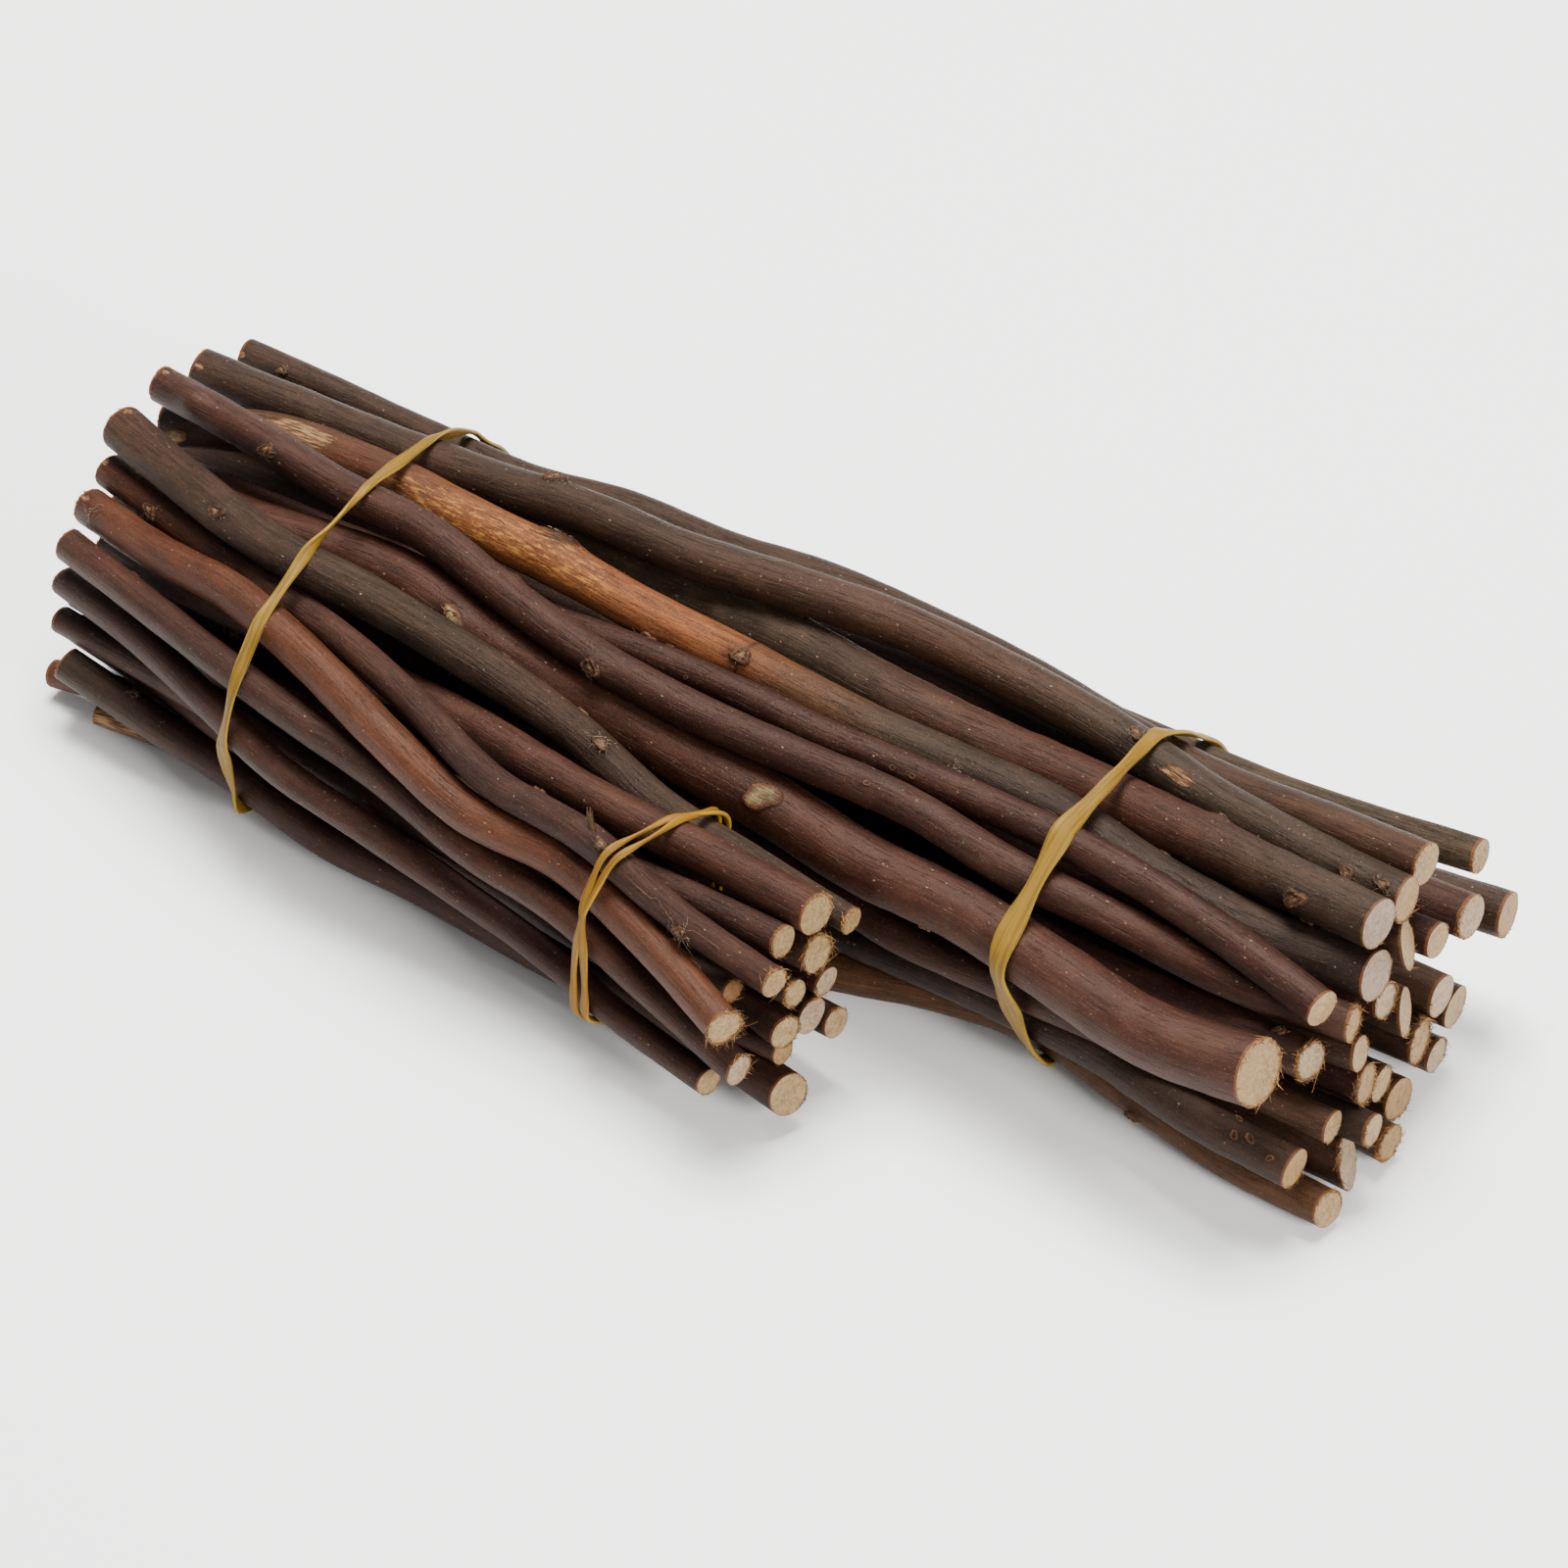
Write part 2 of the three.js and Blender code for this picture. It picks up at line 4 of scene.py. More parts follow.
import bpy
import numpy as np
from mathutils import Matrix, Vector


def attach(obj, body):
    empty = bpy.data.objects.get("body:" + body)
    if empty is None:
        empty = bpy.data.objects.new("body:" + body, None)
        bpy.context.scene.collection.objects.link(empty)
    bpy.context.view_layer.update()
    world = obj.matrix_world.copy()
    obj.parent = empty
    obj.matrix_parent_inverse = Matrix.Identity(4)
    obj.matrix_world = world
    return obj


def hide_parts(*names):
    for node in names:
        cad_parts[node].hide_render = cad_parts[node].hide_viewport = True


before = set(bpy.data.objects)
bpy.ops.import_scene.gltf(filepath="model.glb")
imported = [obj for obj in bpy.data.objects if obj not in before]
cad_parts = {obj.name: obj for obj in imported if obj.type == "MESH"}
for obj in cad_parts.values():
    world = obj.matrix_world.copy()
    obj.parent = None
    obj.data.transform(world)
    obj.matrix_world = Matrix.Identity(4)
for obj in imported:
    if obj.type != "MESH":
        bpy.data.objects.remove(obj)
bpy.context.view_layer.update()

MM = 0.001

# The camera, in degrees and metres, and the 1600 pixel picture that the marks below were read in
AZIMUTH = 32.2
ELEVATION = 42.5
DISTANCE = 2.0
TARGET = Vector((-0.0157, 0.0463, -0.0117))
PICTURE = 1600
FOCAL_PIXELS = 9758
SENSOR = 36.0  # millimetres
OUT_OF_SIGHT = 1e4  # pixels, added to how far off a place is that faces away from the camera

# How finely the twigs that show and those that are mostly hidden are made: two rounds of cuts along
# them, and the sides around them
SHOWN_CUTS = {"long": (19, 17, 32), "short": (15, 15, 32)}
HIDDEN_CUTS = {"long": (13, 14, 22), "short": (11, 12, 22)}
CAD_SIDES = 8  # of a twig in the CAD
CAP_STEPS = (0.05, 0.09, 0.22, 0.26, 0.22)  # between the rings of a cut face, as shares of its radius
SHORT_SEED = 100  # the short twigs' random draws are seeded from their number plus this
SLANT_SHARE = 0.125  # the share of a twig's length over which its slanted cut eases off
PLAIN_GROOVE = 0.5  # how strongly most of the bark is grooved along
FAR_FROM_CUT = -9  # what a knot or a fibre holds as its "cut"
LEFT_FRAY = 0.3  # how frayed the left ends are, as a share of the right ones
BACK_MARKS = 3  # small knots on the side of each twig that the picture doesn't show

# Colours as they look, from 0 to 255
UMBER = (64, 43, 31)
BROWN = (78, 50, 34)
OLIVE = (61, 46, 33)
LICHEN = (78, 63, 46)
RUSSET = (80, 42, 29)
COPPER = (104, 56, 33)
ORANGE = (154, 90, 50)
PLUM = (73, 39, 29)
WINE = (63, 31, 24)
# A dark bark colour, which also serves as painted shade on part of a twig's bark
SOOT_AND_SHADE = (42, 29, 22)
TAN = (100, 64, 38)
DUSK = (112, 84, 54)
STRAW = (164, 132, 92)
CREAM = (240, 220, 160)
PALE = (250, 238, 200)
HONEY = (230, 202, 136)
ASH = (214, 212, 194)
RIM = (206, 152, 92)
GROOVE = (30, 20, 14)
THREAD = (132, 112, 92)
MOSS = (120, 106, 72)
RUBBER = (108, 82, 20)
AMBER = (112, 76, 8)
FLOOR_WHITE = (250, 250, 250)

# Colours that the materials mix into those
BLOTCH = (60, 44, 31)
CRACK = (18, 12, 9)
DUST = (92, 72, 54)
FLECK = (126, 104, 84)
LENTICEL = (146, 124, 102)
BARE_WOOD = (88, 60, 38)
BARE_RIDGE = (126, 98, 66)
BARE_FURROW = (34, 22, 14)
GOLD_FLAKE = (172, 120, 54)
TORN_RIM = (108, 66, 36)
DARK_GRAIN = (124, 90, 42)
PALE_GRAIN = (255, 252, 236)
SOFT_RING = (166, 124, 64)
STAIN = (204, 158, 84)
RING_LINE = (132, 92, 48)
PITH = (226, 212, 164)
INNER_BARK = (92, 52, 28)
RUBBER_CLOUD = (84, 56, 2)
# Painted shade in the creases of the rubber's folds
FOLD_SHADE = (70, 46, 8)
RUBBER_EDGE = (156, 124, 34)

# Each twig: its bark from left to right, with painted shade in some of its dark stops, its cut wood, how
# frayed its right end is from 0 to 1, how round that cut looks in the picture, how far it leans there, and
# the marks that show on the bark. A mark is its kind, its place in the picture and its size in
# millimetres.
TWIGS = {
    "long_twig_01": ([LICHEN, LICHEN], CREAM, 0.1, 0.45, 0, []),
    "long_twig_02": (
        [UMBER, UMBER, UMBER, BROWN], CREAM, 0.2, 0.5, 0,
        [("knot", 288, 377, 1.6), ("chip", 245, 362, 0.8), ("tuft", 288, 377, 1)],
    ),
    "long_twig_03": (
        [UMBER, UMBER, UMBER, BROWN, OLIVE, OLIVE], HONEY, 0.5, 0.45, 0.1,
        [("knot", 565, 490, 2.6), ("tuft", 565, 490, 2.6), ("knot", 1159, 749, 2), ("tuft", 1159, 749, 2),
         ("strip", 1201, 790, 2.3), ("knot", 1374, 888, 2), ("knot", 1410, 901, 2), ("tuft", 1410, 901, 2),
         ("chip", 201, 376, 1)],
    ),
    "long_twig_04": ([WINE, WINE], PALE, 0.6, 0.52, 0, []),
    "long_twig_05": ([BROWN, UMBER], HONEY, 0.2, 0.38, 0, []),
    "long_twig_06": ([WINE, WINE], CREAM, 0.1, 0.5, 0, []),
    "long_twig_07": (
        [UMBER, OLIVE, OLIVE, RUSSET, OLIVE], ASH, 0.15, 0.53, 0,
        [("bud", 731, 626, 2), ("knot", 1323, 917, 2.8), ("bud", 1248, 835, 2), ("tuft", 1248, 835, 1)],
    ),
    "long_twig_08": ([UMBER, UMBER], CREAM, 0.3, 0.36, 0.4, []),
    "long_twig_09": (
        # Its last four dark stops are painted shade, where the twigs over it shade its right part
        [SOOT_AND_SHADE, TAN, COPPER, ORANGE, ORANGE, ORANGE, TAN, OLIVE, SOOT_AND_SHADE, SOOT_AND_SHADE, SOOT_AND_SHADE, SOOT_AND_SHADE], ASH, 0.3, 0.52, 0,
        [("eye", 180, 445, 3), ("peel", 302, 441, 3.6), ("stub", 577, 545, 4), ("tuft", 572, 540, 1.6),
         ("knot", 662, 650, 2.4), ("joint", 758, 672, 1), ("knot", 758, 672, 2.4), ("tuft", 975, 782, 1.6),
         ("gold", 430, 505, 4), ("gold", 515, 545, 5), ("gold", 585, 580, 4)],
    ),
    "long_twig_10": ([SOOT_AND_SHADE, WINE], PALE, 0.8, 0.52, 0, []),
    "long_twig_11": ([UMBER, UMBER], CREAM, 0.3, 0.33, 0.35, []),
    "long_twig_12": ([BROWN, BROWN], PALE, 0.1, 0.44, 0, []),
    "long_twig_13": ([UMBER, UMBER], CREAM, 0.2, 0.38, 0, []),
    "long_twig_14": ([WINE, UMBER], HONEY, 1.0, 0.37, 0.1, []),
    "long_twig_15": ([SOOT_AND_SHADE, UMBER], PALE, 0.4, 0.42, 0, []),
    "long_twig_16": (
        [PLUM, WINE, WINE, WINE], CREAM, 0.1, 0.52, 0,
        [("wart", 914, 773, 0.7), ("wart", 938, 779, 0.6), ("wart", 911, 783, 0.9),
         ("wart", 933, 791, 0.9), ("wart", 961, 794, 0.6), ("wart", 700, 690, 0.7)],
    ),
    "long_twig_17": (
        [PLUM, PLUM, PLUM, WINE, PLUM, WINE], HONEY, 0.8, 0.36, 0.1,
        [("bud", 198, 405, 3), ("knot", 274, 459, 2.4), ("bud", 533, 582, 1.4), ("knot", 605, 680, 2.4),
         ("wart", 885, 800, 1), ("chip", 170, 381, 0.9), ("tuft", 180, 382, 1.2)],
    ),
    "long_twig_18": ([WINE, WINE], PALE, 1.0, 0.62, 0, [("knot", 1306, 1052, 1.6)]),
    "long_twig_19": (
        [RUSSET, RUSSET, RUSSET, RUSSET], CREAM, 0.9, 0.6, 0,
        [("eye", 463, 630, 3.4), ("knot", 461, 629, 1.6), ("eye", 777, 815, 4.6)],
    ),
    "long_twig_20": ([UMBER, UMBER], CREAM, 0.3, 0.42, 0.1, []),
    "long_twig_21": ([UMBER, WINE], HONEY, 1.0, 0.42, 0.1, []),
    "long_twig_22": ([SOOT_AND_SHADE, UMBER], CREAM, 0.5, 0.38, 0, []),
    "long_twig_23": ([SOOT_AND_SHADE, UMBER], HONEY, 0.5, 0.52, 0, []),
    "long_twig_24": ([UMBER, SOOT_AND_SHADE], CREAM, 0.4, 0.45, 0, []),
    "long_twig_25": ([UMBER, BROWN], HONEY, 0.9, 0.5, 0, []),
    "long_twig_26": ([WINE, WINE, WINE, BROWN], CREAM, 0.2, 0.42, 0, [("knot", 239, 644, 2.2)]),
    "long_twig_27": ([UMBER, BROWN], PALE, 0.7, 0.42, 0.45, []),
    "long_twig_28": (
        [SOOT_AND_SHADE, SOOT_AND_SHADE, SOOT_AND_SHADE, UMBER], HONEY, 0.3, 0.42, 0,
        [("wart", 1264, 1143, 1.3), ("wart", 1276, 1160, 1.5), ("wart", 1260, 1157, 1.2),
         ("wart", 1296, 1184, 1)],
    ),
    "long_twig_29": (
        [DUSK, TAN, TAN, TAN, TAN], CREAM, 0.5, 0.63, 0,
        [("peel", 118, 732, 3.2), ("knot", 1155, 1137, 1.8)],
    ),
    "short_twig_01": ([WINE, RUSSET, RUSSET], CREAM, 0.5, 0.58, 0, []),
    "short_twig_02": (
        [BROWN, UMBER, OLIVE, UMBER, OLIVE, UMBER], HONEY, 0.4, 0.5, 0,
        [("knot", 223, 523, 2.4), ("knot", 614, 760, 2), ("tuft", 614, 760, 2.4), ("chip", 130, 419, 1)],
    ),
    "short_twig_03": ([UMBER, WINE], CREAM, 0.4, 0.55, 0, []),
    "short_twig_04": ([WINE, WINE], CREAM, 0.9, 0.6, 0, []),
    "short_twig_05": (
        [COPPER, PLUM, PLUM, WINE, WINE, PLUM], CREAM, 0.6, 0.56, 0,
        [("knot", 153, 521, 2.2), ("tuft", 153, 521, 1.6), ("spur", 608, 850, 5), ("knot", 612, 862, 1.8),
         ("knot", 695, 952, 2), ("tuft", 695, 952, 2.4), ("chip", 106, 472, 0.9)],
    ),
    "short_twig_06": ([COPPER, UMBER], CREAM, 0.5, 0.6, 0, []),
    "short_twig_07": ([WINE, WINE], PALE, 0.4, 0.45, 0, []),
    "short_twig_08": ([WINE, UMBER], STRAW, 0.5, 0.6, 0, []),
    "short_twig_09": ([WINE, WINE], CREAM, 0.6, 0.6, 0, []),
    "short_twig_10": ([UMBER, UMBER], PALE, 0.3, 0.52, 0.1, []),
    "short_twig_11": ([UMBER, UMBER], CREAM, 0.3, 0.6, 0, []),
    "short_twig_12": (
        [COPPER, COPPER, COPPER, COPPER, COPPER], CREAM, 1.0, 0.65, 0,
        [("chip", 88, 508, 1), ("tuft", 92, 526, 2.6)],
    ),
    "short_twig_13": ([WINE, PLUM, WINE], HONEY, 0.4, 0.6, 0, []),
    "short_twig_14": ([RUSSET, WINE, WINE, RUSSET, WINE], PALE, 0.6, 0.5, 0.15, []),
    "short_twig_15": (
        [OLIVE, WINE, WINE, UMBER, WINE], CREAM, 0.3, 0.72, 0,
        [("knot", 139, 707, 1.3), ("tuft", 139, 707, 1.6)],
    ),
    "short_twig_16": ([WINE, PLUM, WINE, WINE], CREAM, 0.3, 0.6, 0, []),
}
HIDDEN_TWIGS = [name for name, look in TWIGS.items() if len(look[0]) == 2]

# Twigs whose bark is grooved more or less than PLAIN_GROOVE
GROOVED = {
    "long_twig_01": 1, "long_twig_16": 0.25, "long_twig_17": 0.35, "long_twig_19": 0.3,
    "short_twig_02": 1, "short_twig_05": 0.9, "short_twig_12": 0.3,
}

# Loose threads along a twig, by the places that they pass in the picture
THREADS = {
    "long_twig_03": [(545, 478), (600, 500), (650, 520), (700, 548), (760, 566), (820, 577), (893, 598)],
    "short_twig_05": [(650, 905), (672, 920), (690, 945), (712, 952), (735, 970)],
}

# The marks: how high each kind lifts the bark in its middle, as a share of its size, how long it is for
# its width where that isn't PLAIN_MARK_LENGTH, and how bare it leaves the wood, or how golden, below zero
MARK_LIFTS = {
    "bud": 0.45, "knot": 0.3, "stub": 0.3, "eye": 0.14, "wart": 0.1, "spur": 0.1, "peel": -0.08,
    "chip": -0.15,
}
MARK_LENGTHS = {"peel": 2.8, "strip": 2.6, "gold": 2.4}
PLAIN_MARK_LENGTH = 1.2
BARED = {"peel": 1.0, "chip": 1.0, "strip": 0.58, "gold": -1.0}

# The rings of a knot's own plate, from its rim to its middle: how far in they are, how high they stand as
# a share of the plate's size, and their colours, None being the bark's
PLATE_STEPS = [0, 0.14, 0.28, 0.42, 0.58, 0.76, 1]
PLATES = {
    "eye": ([-0.3, 0, 0.05, 0.02, 0.06, 0.08, 0.08], [None, None, TAN, RUSSET, MOSS, MOSS, DUSK]),
    "wart": ([-0.2, 0.05, 0.14, 0.08, 0, 0, 0], [None, None, TAN, TAN, SOOT_AND_SHADE, None, None]),
    "knot": ([-0.3, 0.06, 0.24, 0.16, 0.04, 0.14, 0.18], [None, None, TAN, GROOVE, UMBER, DUSK, DUSK]),
}
PLATE_BRIGHTNESS = 1.9  # makes up for the bark material, which darkens every colour
PLATE_HALO = 1.3  # the size of the darker bark round a plate, as a share of the plate's

# Each band: its strands, each strand's width and thickness in metres, its twist in degrees, the place
# in the picture where it is gathered narrow, and its colour
BANDS = {
    "band_left": (1, 2.6 * MM, 0.8 * MM, 70, (345, 525), RUBBER),
    "band_long": (1, 4.1 * MM, 1.0 * MM, 26, (1146, 782), RUBBER),
    "band_short": (2, 1.5 * MM, 0.95 * MM, 40, (652, 850), AMBER),
}
BAND_ANGLES = 720  # at which a band's outline is measured
BAND_STEPS = 360  # along a band
BAND_SIDES = 12  # round a strand
BAND_SINK = 0.6 * MM  # from the outside of the CAD band to the middle of the strand
STRAND_SPACING = 1.9  # in strand widths
GATHER_STEPS = 11  # the reach of the gathered stretch
FLOOR_GAP = 0.02 * MM  # between a band and the table

# The stage
FLOOR_SIZE = 12
FLOOR_DROP = 0.05 * MM
SKY_STRENGTH = 0.5
OVERHEAD = {"place": (-0.2, 0.35, 1.5), "size": 0.8, "power": 80, "colour": (1, 0.985, 0.96)}
FROM_RIGHT = {"place": (1.5, -0.5, 0.7), "size": 0.5, "power": 46, "colour": (1, 0.985, 0.95)}


# Small helpers for colours, places and wavy numbers
def linear(colour):
    """A colour from 0 to 255 as Blender's own linear values."""
    return [((c / 255 + 0.055) / 1.055) ** 2.4 if c > 10 else c / 255 / 12.92 for c in colour]


def unit(vectors):
    return vectors / np.linalg.norm(vectors, axis=-1, keepdims=True)


def along_list(values, share):
    """Values given at even steps, read smoothly at shares from 0 to 1."""
    values = np.array(values, float)
    place = np.clip(share, 0, 1) * (len(values) - 1)
    low = np.minimum(place.astype(int), len(values) - 2)
    part = place - low
    smooth = (part * part * (3 - 2 * part))[:, None]
    return values[low] * (1 - smooth) + values[low + 1] * smooth


def waves(rng, places, size, count=5):
    """A smooth wavy number from -1 to 1 at each place, with waves about as long as size."""
    total = np.zeros(len(places))
    for _ in range(count):
        direction = rng.normal(size=places.shape[1]) / size
        total += np.sin(places @ direction * 2 + rng.uniform(0, 2 * math.pi))
    return total / count


def camera_axes():
    """The directions towards the camera, to the right of the picture and up it."""
    a, e = math.radians(AZIMUTH), math.radians(ELEVATION)
    back = np.array([math.sin(a) * math.cos(e), -math.cos(a) * math.cos(e), math.sin(e)])
    right = np.array([math.cos(a), math.sin(a), 0])
    return back, right, np.cross(back, right)


BACK, RIGHT, UP = camera_axes()


def in_picture(points):
    """The pixel where each point shows."""
    offset = points - (np.array(TARGET) + BACK * DISTANCE)
    scale = FOCAL_PIXELS / -(offset @ BACK)
    return np.stack([PICTURE / 2 + scale * (offset @ RIGHT), PICTURE / 2 - scale * (offset @ UP)], axis=1)


# Small helpers for meshes
def deselect():
    if bpy.context.object and bpy.context.object.mode != "OBJECT":
        bpy.ops.object.mode_set(mode="OBJECT")
    bpy.ops.object.select_all(action="DESELECT")


def vertices_of(mesh):
    flat = np.empty(len(mesh.vertices) * 3, np.float32)
    mesh.vertices.foreach_get("co", flat)
    return flat.reshape(-1, 3).astype(float)


def move_vertices(mesh, places):
    """Puts a mesh's vertices at new places."""
    mesh.vertices.foreach_set("co", places.astype(np.float32).ravel())
    mesh.update()


def paint(mesh, name, kind, values):
    """Stores values for a mesh's vertices under a name, which the materials read."""
    field = {"FLOAT": "value", "FLOAT_VECTOR": "vector", "FLOAT_COLOR": "color"}[kind]
    attribute = mesh.attributes.get(name) or mesh.attributes.new(name, kind, "POINT")
    attribute.data.foreach_set(field, values.astype(np.float32).ravel())


def with_alpha(colours):
    return np.column_stack([colours, np.ones(len(colours))])


def select_where(mesh, test, element="faces"):
    """In edit mode, selects the faces or edges that the test picks by their vertices' places."""
    bpy.ops.mesh.select_all(action="DESELECT")
    bpy.ops.object.mode_set(mode="OBJECT")
    items = mesh.polygons if element == "faces" else mesh.edges
    for item in items:
        item.select = bool(test([mesh.vertices[i].co for i in item.vertices]))
    bpy.ops.object.mode_set(mode="EDIT")


def copy_of(original, name):
    """A copy with its own mesh."""
    piece = original.copy()
    piece.data = original.data.copy()
    piece.name = name
    bpy.context.scene.collection.objects.link(piece)
    return piece


def join(pieces, name):
    """Makes the pieces one, with the first one's materials first."""
    deselect()
    for piece in pieces:
        piece.select_set(True)
    bpy.context.view_layer.objects.active = pieces[0]
    if len(pieces) > 1:
        bpy.ops.object.join()
    pieces[0].name = name
    return pieces[0]


# Shapes that repeat, made once and copied
def straight_twig(cuts, more_cuts, sides):
    """A closed rod from z = 0 to z = 1 with radius 1, cut into rings, with rings in its end faces too."""
    deselect()
    bpy.ops.mesh.primitive_cylinder_add(vertices=sides, radius=1, depth=1, location=(0, 0, 0.5))
    rod = bpy.context.object
    bpy.ops.object.transform_apply(location=True)
    bpy.ops.object.mode_set(mode="EDIT")
    for number in (cuts, more_cuts):
        bpy.ops.mesh.select_mode(type="EDGE")
        select_where(rod.data, lambda ends: abs(ends[0].z - ends[1].z) > 1e-4, "edges")
        bpy.ops.mesh.subdivide(number_cuts=number)
    bpy.ops.mesh.select_mode(type="FACE")
    for end in (0, 1):
        select_where(rod.data, lambda corners: all(abs(c.z - end) < 1e-5 for c in corners))
        for step in CAP_STEPS:
            bpy.ops.mesh.inset(thickness=step, use_boundary=True)
        bpy.ops.mesh.poke()
    bpy.ops.object.mode_set(mode="OBJECT")
    bpy.ops.object.shade_smooth_by_angle(angle=math.radians(50))
    for face in rod.data.polygons:
        face.material_index = int(abs(face.normal.z) > 0.9)
    return rod


def straight_fibre():
    """A thin three-sided hair from z = 0 to z = 1."""
    deselect()
    bpy.ops.mesh.primitive_cone_add(vertices=3, radius1=1, radius2=0.25, depth=1, location=(0, 0, 0.5))
    hair = bpy.context.object
    bpy.ops.object.transform_apply(location=True)
    bpy.ops.object.mode_set(mode="EDIT")
    bpy.ops.mesh.select_mode(type="EDGE")
    select_where(hair.data, lambda ends: abs(ends[0].z - ends[1].z) > 1e-4, "edges")
    bpy.ops.mesh.subdivide(number_cuts=2)
    bpy.ops.object.mode_set(mode="OBJECT")
    return hair


def flat_knot():
    """A round plate of radius 1 with rings, from which the knots are raised."""
    deselect()
    bpy.ops.mesh.primitive_circle_add(vertices=22, radius=1, fill_type="NGON")
    plate = bpy.context.object
    bpy.ops.object.mode_set(mode="EDIT")
    bpy.ops.mesh.select_all(action="SELECT")
    for step in np.diff(PLATE_STEPS)[:-1]:
        bpy.ops.mesh.inset(thickness=float(step), use_boundary=True)
    bpy.ops.mesh.poke()
    bpy.ops.object.mode_set(mode="OBJECT")
    bpy.ops.object.shade_smooth()
    return plate


# A twig
def cad_rings(node):
    """The middles and radii of a CAD twig's rings, from left to right."""
    places = np.unique(vertices_of(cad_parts[node].data).round(6), axis=0)
    places = places[np.argsort(places[:, 0])]

    # The two end rings have one vertex more, in the middle of the cut face
    count = (len(places) - 2) // CAD_SIDES
    starts = [0] + [1 + CAD_SIDES * i for i in range(1, count)] + [len(places)]
    rings = [places[a:b] for a, b in zip(starts, starts[1:])]
    middles = np.array([ring.mean(axis=0) for ring in rings])
    radii = np.array([np.linalg.norm(r - m, axis=1).max() for r, m in zip(rings, middles)])
    return middles, radii


def spline(points, share):
    """The places at shares from 0 to 1 along a smooth curve through evenly spaced points."""
    padded = np.vstack([2 * points[:1] - points[1:2], points, 2 * points[-1:] - points[-2:-1]])
    place = np.clip(share, 0, 1) * (len(points) - 1)
    index = np.minimum(place.astype(int), len(points) - 2)
    t = (place - index)[:, None]
    a, b, c, d = (padded[index + i] for i in range(4))
    square = 2 * a - 5 * b + 4 * c - d
    cube = 3 * b - a - 3 * c + d
    return 0.5 * (2 * b + (c - a) * t + square * t**2 + cube * t**3)


class TwigForm:
    """The course of one twig, which gives the place at a share of its length, an angle round it and a
    distance from its middle line."""

    def __init__(self, node, roundness, lean, rng):
        self.middles, self.radii = cad_rings(node)
        self.length = np.linalg.norm(np.diff(self.middles, axis=0), axis=1).sum()

        # The right cut looks as round as it does in the picture, and the left one slants by chance
        self.slopes = []
        for end in (0, 1):
            run = self.frame_at(np.array([float(end)]))[1][0]
            facing = run @ BACK
            seen = math.sqrt(1 - facing**2)
            if end:
                slope = unit(BACK - facing * run) * (roundness - facing) / seen
                slope += unit(np.cross(BACK, run)) * lean / seen
            else:
                slope = np.cross(run, unit(rng.normal(size=3))) * rng.uniform(0, 0.2)
            self.slopes.append(slope)

    def frame_at(self, share):
        """The middle of the twig, and the directions along it, level across it and up from it."""
        step = 0.004
        middle = spline(self.middles, share)
        run = unit(spline(self.middles, share + step) - spline(self.middles, share - step))
        across = unit(np.cross([0, 0, 1], run))
        return middle, run, across, np.cross(run, across)

    def place(self, share, angle, reach):
        """The places at a reach from the middle line, slid along the twig where its cut ends slant."""
        middle, run, across, upward = self.frame_at(share)
        offset = across * np.cos(angle)[:, None] + upward * np.sin(angle)[:, None]
        slide = np.zeros(len(share))
        for end, slope in enumerate(self.slopes):
            nearness = np.clip(1 - np.abs(share - end) / SLANT_SHARE, 0, 1)
            slide -= nearness * reach * (offset @ slope)
        return middle + offset * reach[:, None] + run * slide[:, None]

    def directions_at(self, share, angle, roots):
        """The directions out of the twig, along it and round it at places on its bark."""
        radial = unit(roots - self.place(share, angle, np.zeros(len(share))))
        run = self.frame_at(share)[1]
        return radial, run, np.cross(run, radial)


